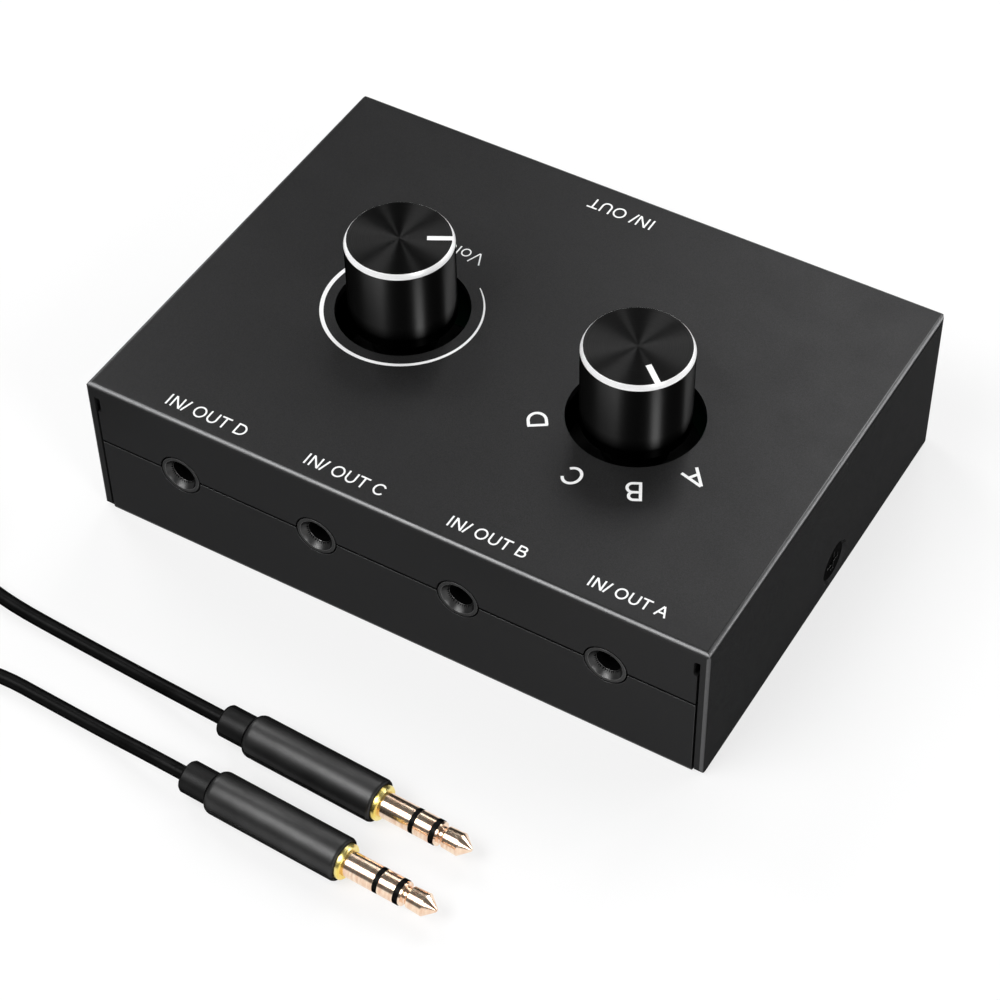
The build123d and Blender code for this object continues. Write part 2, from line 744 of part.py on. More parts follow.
with BuildPart() as selector_contacts:
    with BuildSketch(at_dial(selector_x, selector_y, tail_bottom)):
        with Locations(*selector_spots, *common_spots):
            Circle(contact_tail / 2)
    extrude(amount=wafer_top - tail_bottom)
    with BuildSketch(at_dial(selector_x, selector_y, wafer_top)):
        with Locations(*selector_spots):
            Circle(contact_head / 2)
        Circle(contact_ring_radius + track_width / 2)
        Circle(contact_ring_radius - track_width / 2, mode=Mode.SUBTRACT)
    extrude(amount=contact_head_height)
save(selector_contacts, "selector_contacts")

with BuildPart() as selector_cup:
    with BuildSketch(at_dial(selector_x, selector_y, wafer_top)):
        Circle(selector_body / 2)
    extrude(amount=control_height)
    with BuildSketch(at_dial(selector_x, selector_y, wafer_top)):
        Circle(detent_radius)
    extrude(amount=control_height - cup_lid, mode=Mode.SUBTRACT)
    # groove that the stop lug turns in, closed at both ends of its travel
    groove_top = selector_rotor_bottom + selector_lug_height + end_play
    lug_half = degrees(asin(lug_width / 2 / stop_groove_radius))
    groove_start = selector_pointer_angle + 90 - selector_travel - lug_half - stop_play
    groove_span = selector_travel + 2 * lug_half + 2 * stop_play
    with BuildSketch(at_dial(selector_x, selector_y, wafer_top, groove_start)):
        with BuildLine():
            Line((0, 0), (stop_groove_radius, 0))
            CenterArc((0, 0), stop_groove_radius, 0, groove_span)
            Line(around(stop_groove_radius, groove_span), (0, 0))
        make_face()
    extrude(amount=groove_top - wafer_top, mode=Mode.SUBTRACT)
    # detent notches for both balls
    notch_centre = detent_radius + notch_depth - notch_radius
    with BuildSketch(at_dial(selector_x, selector_y, ball_height - notch_radius)):
        with Locations(*[around(notch_centre, angle) for angle in contact_angles]):
            Circle(notch_radius)
    extrude(amount=2 * notch_radius, mode=Mode.SUBTRACT)
    with BuildSketch(at_dial(selector_x, selector_y, lid_under)):
        Circle(bushing_diameter / 2 + bushing_fit)
    extrude(amount=cup_lid, mode=Mode.SUBTRACT)
save(selector_cup, "selector_cup")

with BuildPart() as selector_rotor:
    with BuildSketch(at_dial(selector_x, selector_y, selector_rotor_bottom, selector_pointer_angle + 90)):
        Circle(selector_rotor_radius)
    extrude(amount=selector_rotor_height)
    with BuildSketch(at_dial(selector_x, selector_y, selector_rotor_bottom, selector_pointer_angle + 90)):
        with Locations((lug_reach / 2, 0)):
            Rectangle(lug_reach, lug_width)
    extrude(amount=selector_lug_height)
    with BuildSketch(at_dial(selector_x, selector_y, selector_rotor_bottom)):
        Circle(spigot_diameter / 2 + shaft_fit)
    extrude(amount=selector_rotor_height, mode=Mode.SUBTRACT)
    for turn in (0, 180):
        outward = Vector(1, 0, 0).rotate(Axis.Z, selector_pointer_angle + turn)
        pocket_start = Vector(selector_x, selector_y, ball_height) + outward * (spigot_diameter / 2 + 0.6)
        with BuildSketch(Plane(origin=pocket_start, z_dir=outward)):
            Circle(ball_radius + ball_bore_fit)
        extrude(amount=selector_rotor_radius, mode=Mode.SUBTRACT)
save(selector_rotor, "selector_rotor")

with BuildPart() as selector_balls:
    for turn in (0, 180):
        ball_x, ball_y = around(ball_centre, selector_pointer_angle + turn)
        with Locations((selector_x + ball_x, selector_y + ball_y, ball_height)):
            Sphere(ball_radius)
save(selector_balls, "selector_balls")

# each spring sits between its pocket's floor and its ball
spring_start = spigot_diameter / 2 + 0.6 + spring_wire / 2
spring_radius = ball_radius - spring_wire
spring_seat = ball_centre - sqrt((ball_radius + spring_wire / 2) ** 2 - spring_radius ** 2)
with BuildPart() as selector_springs:
    for turn in (0, 180):
        outward = Vector(1, 0, 0).rotate(Axis.Z, selector_pointer_angle + turn)
        start = Vector(selector_x, selector_y, ball_height) + outward * spring_start
        spring_height = spring_seat - spring_start
        with BuildLine() as coil_path:
            Helix(spring_height / spring_turns, spring_height, spring_radius,
                  center=start, direction=outward)
        with BuildSketch(Plane(origin=coil_path.line @ 0, z_dir=coil_path.line % 0)):
            Circle(spring_wire / 2)
        sweep(path=coil_path.line)
save(selector_springs, "selector_springs")

make_wiper(selector_x, selector_y, selector_pointer_angle, selector_rotor_bottom, selector_rotor_radius,
           (contact_radius, -contact_radius, -contact_ring_radius),
           wafer_top + contact_head_height + wiper_gap, "selector_wiper")


# ---- Lead: plugs ----
def plug_axis_plane(point, along):
    """Plane across a plug's axis, a distance forward of where its cord enters."""
    heading = Vector(cos(radians(plug_heading)), sin(radians(plug_heading)), 0)
    origin = Vector(point[0], point[1], plug_diameter / 2) + heading * along
    return Plane(origin=origin, x_dir=(0, 0, 1), z_dir=heading)


def turned(point, label, *outline):
    """Solid of revolution about a plug's axis, from (distance forward, radius) corners."""
    base = plug_axis_plane(point, 0)
    with BuildPart() as piece:
        with BuildSketch(Plane(origin=base.origin, x_dir=base.z_dir, z_dir=base.y_dir)):
            with BuildLine():
                Polyline(*outline, close=True)
            make_face()
        revolve(axis=Axis(base.origin, base.z_dir))
    save(piece, label)


def make_plug(point, prefix):
    """One three-contact plug, from its moulded strain relief to its tip."""
    shell_start = relief_visible
    shell_end = shell_start + plug_shell_length
    flange_start = shell_end + flange_stand - flange_length
    sleeve_start = shell_end + flange_stand
    first_insulator = sleeve_start + sleeve_length
    ring_start = first_insulator + insulator_length
    second_insulator = ring_start + ring_length
    tip_start = second_insulator + insulator_length
    plug_end = tip_start + tip_length
    shell_radius = plug_diameter / 2
    bore = shell_radius - plug_shell_wall
    relief_radius = relief_diameter / 2
    contact_r = contact_diameter / 2
    core_r = core_diameter / 2
    rod_r = rod_diameter / 2
    turned(point, f"{prefix}_shell",
           (shell_start, relief_radius), (shell_start, relief_radius + 0.3),
           (shell_start + plug_shell_taper, shell_radius), (shell_end - shell_edge, shell_radius),
           (shell_end, shell_radius - shell_edge), (shell_end, bore),
           (shell_start + plug_shell_taper, bore), (shell_start + plug_shell_taper, relief_radius))
    turned(point, f"{prefix}_relief",
           (0, 0), (0, relief_radius - 0.4), (0.4, relief_radius),
           (shell_start + plug_shell_taper, relief_radius), (shell_start + plug_shell_taper, bore),
           (flange_start, bore), (flange_start, 0))
    turned(point, f"{prefix}_flange",
           (flange_start, contact_r), (flange_start, flange_diameter / 2),
           (sleeve_start - 0.2, flange_diameter / 2), (sleeve_start, flange_diameter / 2 - 0.2),
           (sleeve_start, contact_r))
    turned(point, f"{prefix}_sleeve",
           (flange_start, core_r), (flange_start, contact_r), (first_insulator, contact_r),
           (first_insulator, core_r))
    turned(point, f"{prefix}_ring",
           (ring_start, core_r), (ring_start, contact_r), (second_insulator, contact_r),
           (second_insulator, core_r))
    turned(point, f"{prefix}_insulator",
           (flange_start, rod_r), (flange_start, core_r), (first_insulator, core_r),
           (first_insulator, contact_r), (ring_start, contact_r), (ring_start, core_r),
           (second_insulator, core_r), (second_insulator, contact_r), (tip_start, contact_r),
           (tip_start, rod_r))
    collar_end = tip_start + tip_collar_length
    turned(point, f"{prefix}_tip",
           (flange_start, 0), (flange_start, rod_r), (tip_start, rod_r), (tip_start, tip_collar / 2),
           (collar_end, tip_collar / 2), (collar_end, tip_waist / 2),
           (tip_start + tip_waist_end, tip_waist / 2), (tip_start + tip_body_start, tip_body / 2),
           (tip_start + tip_belly_at, tip_belly / 2), (plug_end, tip_end / 2), (plug_end, 0))


for number, entry in enumerate(plug_points, start=1):
    make_plug(entry, f"plug_{number}")

# ---- Lead: cord ----
coil_x, coil_y = coil_centre
cord_radius = cord_diameter / 2
plug_height = plug_diameter / 2
first_row = coil_bottom + cord_radius
outer_turn = coil_outer - cord_radius


def straight_stub(point):
    """The first two points of a cord's route, along its plug's axis."""
    heading = radians(plug_heading)
    behind = (point[0] - plug_stub * cos(heading), point[1] - plug_stub * sin(heading))
    return [(*point, plug_height), (*behind, plug_height)]


routes = {
    "cord_lead_1": straight_stub(plug_points[0]) + [
        (-23.5, -58.65, 1.5), (-33.5, -57.9, 1.0), (-50.0, -57.0, 1.0), (-58.0, -54.2, 1.1),
        (-65.3, -49.9, 1.4),
        (coil_x, coil_y + outer_turn, first_row)],
    "cord_lead_2": straight_stub(plug_points[1]) + [
        (-22.0, -68.75, 1.5), (-31.5, -68.1, 1.0), (-42.5, -67.6, 1.0), (-52.0, -70.8, 1.0),
        (-62.0, -76.9, 1.0),
        (coil_x, coil_y - outer_turn - tail_step, cord_radius)],
}


def corner_radii(points):
    """As large an arc at each corner as its two runs allow."""
    radii = []
    for before, corner, after in zip(points, points[1:], points[2:]):
        run_in = Vector(*corner) - Vector(*before)
        run_out = Vector(*after) - Vector(*corner)
        turn = radians(run_in.get_angle(run_out))
        radii.append(0.45 * min(run_in.length, run_out.length) / tan(turn / 2))
    return radii


for route_name, route in routes.items():
    radii = corner_radii(route)
    with BuildPart() as lead:
        with BuildLine() as path:
            FilletPolyline(*route, radius=radii)
        with BuildSketch(Plane(origin=path.line @ 0, z_dir=path.line % 0)):
            Circle(cord_radius)
        sweep(path=path.line)
    save(lead, route_name)
    lead_length = sum(edge.length for edge in path.line.edges())
    print(route_name, "radii", [round(r, 1) for r in radii], "length", round(lead_length, 2),
          "volume", round(lead.part.volume, 2), "section x length",
          round(pi * cord_radius ** 2 * lead_length, 2))

# the coil's outer shape, with its last half turn sloping down the outside
with BuildPart() as cord_coil:
    with BuildSketch(Plane(origin=(coil_x, coil_y, 0), x_dir=(1, 0, 0), z_dir=(0, -1, 0))):
        with BuildLine():
            Polyline((coil_inner, coil_bottom), (coil_outer + tail_step, coil_bottom),
                     (coil_outer + tail_step, cord_diameter), (coil_outer, coil_top),
                     (coil_inner, coil_top), close=True)
        make_face()
    revolve(axis=Axis((coil_x, coil_y, 0), (0, 0, 1)))
save(cord_coil, "cord_coil")

# the tie wraps the side of the coil that faces the plugs
tie_inner = sqrt(coil_inner ** 2 - (tie_width / 2) ** 2) - tie_fit
tie_outer = coil_outer + tail_step + tie_fit
tie_over = coil_top + tie_fit
with BuildPart() as cord_tie:
    with BuildSketch(Plane(origin=(coil_x, coil_y + tie_width / 2, 0), x_dir=(1, 0, 0), z_dir=(0, -1, 0))):
        with BuildLine():
            Polyline((tie_inner, coil_bottom), (tie_outer, coil_bottom), (tie_outer, cord_diameter + tie_fit),
                     (coil_outer + tie_fit, tie_over), (tie_inner, tie_over), close=True)
        make_face()
        offset(amount=tie_thickness, kind=Kind.INTERSECTION)
        with BuildLine():
            Polyline((tie_inner, coil_bottom), (tie_outer, coil_bottom), (tie_outer, cord_diameter + tie_fit),
                     (coil_outer + tie_fit, tie_over), (tie_inner, tie_over), close=True)
        make_face(mode=Mode.SUBTRACT)
    extrude(amount=tie_width)
save(cord_tie, "cord_tie")
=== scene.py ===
import json
from math import atan2, copysign, cos, degrees, hypot, pi, radians, sin

import bmesh
import bpy
from mathutils import Matrix, Vector


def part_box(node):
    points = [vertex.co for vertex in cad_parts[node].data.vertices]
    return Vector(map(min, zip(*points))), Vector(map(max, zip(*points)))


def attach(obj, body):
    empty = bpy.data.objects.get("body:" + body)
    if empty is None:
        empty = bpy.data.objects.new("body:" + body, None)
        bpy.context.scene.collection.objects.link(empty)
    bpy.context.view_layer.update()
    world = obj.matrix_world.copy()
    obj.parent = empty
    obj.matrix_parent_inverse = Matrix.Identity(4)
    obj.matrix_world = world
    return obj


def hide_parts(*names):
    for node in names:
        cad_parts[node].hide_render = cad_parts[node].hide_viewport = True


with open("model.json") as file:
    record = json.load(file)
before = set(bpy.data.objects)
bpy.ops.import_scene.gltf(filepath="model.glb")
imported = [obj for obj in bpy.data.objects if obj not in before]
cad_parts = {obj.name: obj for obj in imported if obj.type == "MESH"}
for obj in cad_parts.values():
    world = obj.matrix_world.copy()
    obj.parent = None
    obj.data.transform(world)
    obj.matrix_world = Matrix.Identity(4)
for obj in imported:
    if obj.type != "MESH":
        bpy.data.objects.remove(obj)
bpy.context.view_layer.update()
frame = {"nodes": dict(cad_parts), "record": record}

# A black metal audio selector box with two dials, and its plug-to-plug lead.
# Sizes are in millimetres and turned into metres where a mesh is made.
MM = 0.001
TOUCHING = 1e-6        # lengths below this count as none

# ---- Sizes shared with the frame ----
case_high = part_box("top_cover")[1]
panel_top = case_high.z / MM
half_width = case_high.x / MM
half_depth = case_high.y / MM
jack_axis = 14.0       # height of the jacks' bores
jack_places = {"d": -33.0, "c": -11.0, "b": 11.0, "a": 33.0, "rear": 0.0}
plug_points = ((-9.7, -60.05), (-8.8, -69.95))
plug_heading = radians(-2.3)
plug_radius = 3.0      # also the height of the plugs' axes
cord_diameter = 2.0
cord_radius = cord_diameter / 2

# the camera stands at the front right, above the box, turned by its azimuth and elevation
camera_place = Vector((135.1, -227.9, 285.5)) * MM
camera_azimuth = radians(31.33)
camera_elevation = radians(47.76)
camera_roll = radians(-1.0)
camera_lens = 98.15


def node_centre(node):
    """Middle of a CAD node in plan, in millimetres."""
    low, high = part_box(node)
    return Vector(((low.x + high.x) / 2, (low.y + high.y) / 2)) / MM


volume_centre = node_centre("volume_knob")
selector_centre = node_centre("selector_knob")
slot_of_node = {part["node"]: part["material_slot"] for part in frame["record"]["subparts"]}


# ---- Nodes ----
def add_node(tree, kind, *values, settings=None, **inputs):
    """Adds a node to a tree and returns its outputs.

    Values fill the node's inputs in their order, and named inputs have _ for a space. Both take a
    socket or a plain value.
    """
    node = tree.nodes.new(kind)
    for key, value in (settings or {}).items():
        setattr(node, key, value)
    targets = list(zip(node.inputs, values))
    targets += [(node.inputs[label.replace("_", " ")], value) for label, value in inputs.items()]
    for target, value in targets:
        if isinstance(value, bpy.types.NodeSocket):
            tree.links.new(value, target)
        else:
            target.default_value = value
    return node.outputs


def add_ramp(tree, value, low, high, start, end):
    """Blends two colours, or two numbers, along a value."""
    blend = add_node(tree, "ShaderNodeValToRGB", value)["Color"]
    for stop, place, colour in zip(blend.node.color_ramp.elements, (start, end), (low, high)):
        stop.position = place
        stop.color = (*colour, 1) if hasattr(colour, "__len__") else (colour, colour, colour, 1)
    return blend


# ---- Materials ----
class Shader:
    """A Principled material with a few helpers for procedural detail, in object millimetres."""

    def __init__(self, name, colour, roughness, metallic=0.0, **sockets):
        self.material = bpy.data.materials.new(name)
        self.material.use_nodes = True
        self.tree = self.material.node_tree
        self.bsdf = self.tree.nodes["Principled BSDF"]
        chosen = {"Base_Color": (*colour, 1), "Roughness": roughness, "Metallic": metallic, **sockets}
        for socket, value in chosen.items():
            self.bsdf.inputs[socket.replace("_", " ")].default_value = value
        where = self.add("ShaderNodeTexCoord", output="Object")
        self.place = self.add("ShaderNodeMapping", where, Scale=(1 / MM,) * 3)
        self.normal = None

    def add(self, kind, *values, output=0, settings=None, **inputs):
        """Adds a node and returns one of its outputs."""
        return add_node(self.tree, kind, *values, settings=settings, **inputs)[output]

    def feed(self, socket, value):
        """Links a value to one of the material's own sockets."""
        self.tree.links.new(value, self.bsdf.inputs[socket])

    def noise(self, size, detail=3.0, roughness=0.55, stretch=(1, 1, 1)):
        """Noise whose grains are about size millimetres across."""
        place = self.add("ShaderNodeMapping", self.place, Scale=[s / size for s in stretch])
        return self.add("ShaderNodeTexNoise", place, Scale=1.0, Detail=detail, Roughness=roughness)

    def colour_by(self, value, low, high, start=0.3, end=0.7):
        """Varies the colour between two along a value."""
        self.feed("Base Color", add_ramp(self.tree, value, low, high, start, end))

    def roughness_by(self, value, low, high, start=0.3, end=0.7):
        """Varies the roughness between two along a value."""
        self.feed("Roughness", add_ramp(self.tree, value, low, high, start, end))

    def bump_by(self, value, height):
        """Adds relief of a height in millimetres to the relief so far."""
        so_far = {"Normal": self.normal} if self.normal else {}
        self.normal = self.add("ShaderNodeBump", Distance=height * MM, Height=value, **so_far)
        self.feed("Normal", self.normal)

    def rings(self, centre, pitch):
        """Bands round a vertical axis, finer and coarser ones mixed, about pitch millimetres wide."""
        middle = self.add("ShaderNodeMapping", self.place, Location=(-centre.x, -centre.y, 0),
                          Scale=(1, 1, 0))
        length = self.add("ShaderNodeVectorMath", middle, output="Value",
                          settings={"operation": "LENGTH"})
        return self.add("ShaderNodeTexNoise", settings={"noise_dimensions": "1D"}, W=length,
                        Scale=1 / pitch, Detail=3.0)

    def height(self, low, high):
        """Rises from 0 to 1 between two heights."""
        z = self.add("ShaderNodeSeparateXYZ", self.place, output="Z")
        return self.add("ShaderNodeMapRange", z, From_Min=low, From_Max=high)

    def face_up(self, lean):
        """Leans the shading upward, as fine grooves do whose upper flanks catch the light."""
        surface = self.add("ShaderNodeNewGeometry", output="Normal")
        leaning = self.add("ShaderNodeVectorMath", surface, (0, 0, lean))
        self.feed("Normal", self.add("ShaderNodeVectorMath", leaning,
                                     settings={"operation": "NORMALIZE"}))

    def turned(self, anisotropy):
        """Stretches highlights across the lathe marks, which follow the UV map's U."""
        across = 0.25          # a quarter turn from the marks
        self.feed("Tangent", self.add("ShaderNodeTangent",
                                      settings={"direction_type": "UV_MAP", "uv_map": "turned"}))
        self.bsdf.inputs["Anisotropic"].default_value = anisotropy
        self.bsdf.inputs["Anisotropic Rotation"].default_value = across


def dark_coat(name, body, gloss, roughness, edge=0.0):
    """Dark coating that scatters one share of the light, body, and mirrors another, gloss.

    Edge tints the mirroring at a grazing angle. Returns the shader and its whole tone.
    """
    total = body + gloss
    made = Shader(name, (total,) * 3, roughness, metallic=gloss / total, Specular_IOR_Level=0.0,
                  Specular_Tint=(edge, edge, edge, 1))
    return made, total


def case_paint(name, gloss, roughness, grain):
    """Fine-textured satin black powder coat. It lies smoother and glossier over folds."""
    made, tone = dark_coat(name, 0.015, gloss, roughness, 0.3)
    speckle = made.noise(0.13, 2.0, 0.7)
    made.colour_by(speckle, [tone * 0.8] * 3, [tone * 1.22, tone * 1.22, tone * 1.25], 0.32, 0.70)
    made.roughness_by(made.noise(6.0, 3.0), roughness - 0.02, roughness + 0.03)
    made.bump_by(speckle, grain)
    made.bump_by(made.noise(1.3, 2.0), grain * 0.8)
    return made.material


def cut_edge():
    """Near-black dull finish with faint streaky marks: a painted shade on the walls of the panel holes and
    on the flaps' tops at the seam.
    """
    made = Shader("cut_edge", (0.002, 0.002, 0.002), 0.7, Specular_IOR_Level=0.1)
    marks = made.noise(0.12, 2.0, stretch=(1, 1, 0.2))
    made.colour_by(marks, (0.0015, 0.0015, 0.0015), (0.003, 0.003, 0.003))
    made.bump_by(marks, 0.01)
    return made.material


def moulding(name, body, gloss, roughness, grain=0.15, height=0.004):
    """Dark moulded plastic with a slight surface grain and flow marks."""
    made, tone = dark_coat(name, body, gloss, roughness)
    fine = made.noise(grain, 2.0)
    made.colour_by(made.noise(4.0, 3.0), [tone * 0.85] * 3, [tone * 1.15] * 3)
    made.roughness_by(fine, roughness - 0.04, roughness + 0.06)
    made.bump_by(fine, height)
    return made.material


def pale_plastic(name, colour, roughness):
    """Unpainted plastic or laminate with a slight mottling."""
    made = Shader(name, colour, roughness)
    made.colour_by(made.noise(2.5, 3.0), [c * 0.85 for c in colour], [min(1, c * 1.1) for c in colour])
    made.bump_by(made.noise(0.3, 2.0), 0.004)
    return made.material


def metal(name, colour, roughness, stretch=(1, 1, 1), size=0.3, height=0.003):
    """Metal with fine directional marks and a little uneven tarnish."""
    made = Shader(name, colour, roughness, metallic=1.0)
    marks = made.noise(size, 3.0, stretch=stretch)
    made.colour_by(made.noise(2.5, 3.0), [c * 0.9 for c in colour], colour)
    made.roughness_by(marks, max(0.02, roughness - 0.05), roughness + 0.06)
    made.bump_by(marks, height)
    return made.material


def plating(name, colour, deep, roughness):
    """Polished plating, deeper in colour in faint bands along the turned piece."""
    made = Shader(name, colour, roughness, metallic=1.0)
    made.colour_by(made.noise(0.6, 2.0, stretch=(1, 0.15, 0.15)), deep, colour, 0.35, 0.6)
    made.roughness_by(made.noise(0.12, 2.0, stretch=(3, 1, 1)), roughness * 0.7, roughness * 1.4)
    made.bump_by(made.noise(0.05, 1.0, stretch=(3, 0.5, 0.5)), 0.0003)
    return made.material


def knob_side():
    """Gloss black anodised aluminium, turned: light runs up it in streaks, and its colour is painted darker
    near its foot, a painted shade that makes the streaks fade there.
    """
    foot = panel_top + 0.9         # painted shade: the colour is darkest up to this height and full at the next
    full = foot + 2.2
    made, tone = dark_coat("knob_side", 0.0006, 0.0140, 0.30)
    # painted shade: darker colour towards the knob's foot
    made.colour_by(made.height(foot, full), [0.0004] * 3, [tone] * 3, 0.0, 1.0)
    made.face_up(0.72)
    made.turned(0.67)
    return made.material


def knob_face(name, centre):
    """Black anodised face with lathe rings: rays of light fan out from its middle."""
    made, tone = dark_coat(name, 0.001, 0.024, 0.50)
    rings = made.rings(centre, 0.12)
    made.colour_by(rings, [tone * 0.86] * 3, [tone * 1.14] * 3, 0.35, 0.65)
    made.turned(1.0)
    return made.material


def bright_cut():
    """Diamond-cut bare aluminium rim, coloured near-white and mostly matte: a painted reflection that keeps
    it white under any light.
    """
    made = Shader("bright_cut", (0.95, 0.95, 0.955), 0.30, metallic=0.15)
    marks = made.noise(0.08, 2.0, stretch=(1, 1, 4))
    made.colour_by(marks, (0.94, 0.94, 0.945), (0.98, 0.98, 0.98))
    made.roughness_by(marks, 0.26, 0.36)
    return made.material


def ink():
    """Screen-printed white ink, slightly uneven."""
    made = Shader("ink", (0.90, 0.90, 0.90), 0.5, Specular_IOR_Level=0.3)
    made.colour_by(made.noise(0.3, 3.0), (0.86, 0.86, 0.865), (0.92, 0.92, 0.92))
    made.bump_by(made.noise(0.12, 2.0), 0.002)
    return made.material


def board_laminate():
    """Dark green solder mask over a faint weave."""
    made = Shader("board_laminate", (0.004, 0.02, 0.01), 0.4, Specular_IOR_Level=0.3)
    made.colour_by(made.noise(6.0, 4.0), (0.003, 0.015, 0.008), (0.005, 0.026, 0.012))
    made.bump_by(made.noise(0.5, 1.0, stretch=(1, 0.25, 1)), 0.008)
    return made.material


def cable_skin():
    """Soft black PVC, satin, with faint draw marks."""
    made, tone = dark_coat("cable_skin", 0.003, 0.0065, 0.36)
    fine = made.noise(0.3, 3.0)
    made.colour_by(made.noise(3.0, 3.0), [tone * 0.8] * 3, [tone * 1.2] * 3)
    made.roughness_by(fine, 0.32, 0.42)
    made.bump_by(fine, 0.003)
    return made.material


def tie_weave():
    """Woven strap: fine loops across the width."""
    made = Shader("tie_weave", (0.02, 0.02, 0.022), 0.75, Sheen_Weight=0.3, Sheen_Roughness=0.5)
    loops = made.noise(0.28, 1.0, stretch=(1, 2.2, 1))
    made.colour_by(loops, (0.012, 0.012, 0.013), (0.04, 0.04, 0.042))
    made.bump_by(loops, 0.08)
    return made.material


paint = case_paint("case_paint", 0.018, 0.36, 0.006)
fold_paint = case_paint("fold_paint", 0.10, 0.36, 0.002)
# near-black painted shade for the walls of the panel holes and the flaps' tops at the seam
painted_shade_black = cut_edge()
cable = cable_skin()
bright = bright_cut()
white_ink = ink()
side_black = knob_side()
shell_black = moulding("plug_shell", 0.003, 0.056, 0.40, grain=0.1, height=0.002)
relief_black = moulding("plug_relief", 0.004, 0.020, 0.44, grain=0.15, height=0.003)
gold = plating("plug_gold", (1.0, 0.86, 0.34), (0.97, 0.74, 0.18), 0.27)
rose_gold = plating("contact_gold", (0.99, 0.79, 0.61), (0.88, 0.60, 0.43), 0.17)
insulator_black = moulding("plug_insulator", 0.002, 0.008, 0.4)
jack_black = moulding("jack_plastic", 0.009, 0.06, 0.36, grain=0.2, height=0.002)
# painted highlight: lighter, glossier jack plastic for the rounded edges of the jacks' noses
jack_edge = moulding("jack_edge", 0.03, 0.16, 0.34, grain=0.2, height=0.001)
steel_black = moulding("black_steel", 0.002, 0.07, 0.26, grain=0.3, height=0.002)
# black core plastic, also the painted shade deep inside the jacks' bores
core_black_and_bore_shade = moulding("core_plastic", 0.002, 0.003, 0.5)

finishes = {
    "case_paint": paint,
    "zinc_steel": metal("zinc_steel", (0.62, 0.62, 0.58), 0.34, size=0.5),
    "black_steel": steel_black,
    "board_laminate": board_laminate(),
    "jack_plastic": jack_black,
    "tinned_bronze": metal("tinned_bronze", (0.5, 0.48, 0.43), 0.35, size=0.15),
    "knob_aluminium": side_black,
    "pointer_paint": white_ink,
    "core_plastic": core_black_and_bore_shade,
    "shaft_steel": metal("shaft_steel", (0.2, 0.2, 0.21), 0.34, stretch=(1, 1, 6), size=0.3),
    # painted shade: the zinc casting and the steel cup inside the case are coloured near black, for the
    # dark inside seen through the panel holes
    "zinc_casting": metal("zinc_casting", (0.006, 0.006, 0.006), 0.6, size=0.25, height=0.006),
    "cup_steel": metal("cup_steel", (0.005, 0.005, 0.005), 0.6, size=0.4),
    "wafer_board": pale_plastic("wafer_board", (0.05, 0.025, 0.012), 0.5),
    "carbon_track": pale_plastic("carbon_track", (0.01, 0.01, 0.01), 0.6),
    "rotor_plastic": pale_plastic("rotor_plastic", (0.6, 0.58, 0.52), 0.42),
    "plug_shell": shell_black,
    "cable_rubber": cable,
    "plug_gold": gold,
    "contact_gold": rose_gold,
    "plug_insulator": insulator_black,
}
for node, node_object in frame["nodes"].items():
    node_object.data.materials.clear()
    node_object.data.materials.append(finishes[slot_of_node[node]])


# ---- Mesh helpers ----
def add_object(name, data):
    """New object in the scene."""
    made = bpy.data.objects.new(name, data)
    bpy.context.scene.collection.objects.link(made)
    return made


def applied(work, name):
    """Mesh that a work object's modifiers give. The work object goes away."""
    bpy.context.view_layer.update()
    mesh = bpy.data.meshes.new_from_object(work.evaluated_get(bpy.context.evaluated_depsgraph_get()))
    bpy.data.objects.remove(work)
    mesh.name = name
    return mesh


def start_edit(mesh=None):
    """Editable copy of a mesh, or an empty one."""
    bm = bmesh.new()
    if mesh:
        bm.from_mesh(mesh)
    return bm


def end_edit(bm, mesh):
    """Writes an editable copy to its mesh."""
    bm.to_mesh(mesh)
    bm.free()


def prism(bm, outline, bottom, top):
    """Adds an upright solid over a plan outline, its faces still to be turned outward."""
    lower, upper = [[bm.verts.new((x * MM, y * MM, height * MM)) for x, y in outline]
                    for height in (bottom, top)]
    bm.faces.new(lower)
    bm.faces.new(upper)
    for i in range(len(outline)):
        bm.faces.new((lower[i - 1], lower[i], upper[i], upper[i - 1]))


def finish_mesh(name, mesh, body, materials, smooth=35.0):
    """Links a mesh as a piece that rides on a body, with the given finishes."""
    for made in materials:
        mesh.materials.append(made)
    mesh.shade_smooth()
    mesh.set_sharp_from_angle(angle=radians(smooth))
    piece = add_object(name, mesh)
    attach(piece, body)
    return piece


def round_edges(piece, width, segments=3, angle=30.0, finish=-1):
    """Breaks a piece's sharp edges by a small round. Finish is the round's material index."""
    bevel = piece.modifiers.new("edges", "BEVEL")
    bevel.material = finish
    bevel.width = width * MM
    bevel.segments = segments
    bevel.limit_method = "ANGLE"
    bevel.angle_limit = radians(angle)
    bevel.harden_normals = True
    return piece


def flatten_shading(piece):
    """Keeps the shading of large flat faces flat where they run into a fold."""
    level = piece.modifiers.new("flat_faces", "WEIGHTED_NORMAL")
    level.mode = "FACE_AREA"
    level.keep_sharp = True


def ring_corners(ring, step, spot):
    """The corners that a ring of points gives a face: point, step round the axis, outline corner."""
    if len(ring) == 1:
        return [(ring[0], step + 0.5, spot)]
    return [(ring[step], step, spot), (ring[(step + 1) % len(ring)], step + 1, spot)]


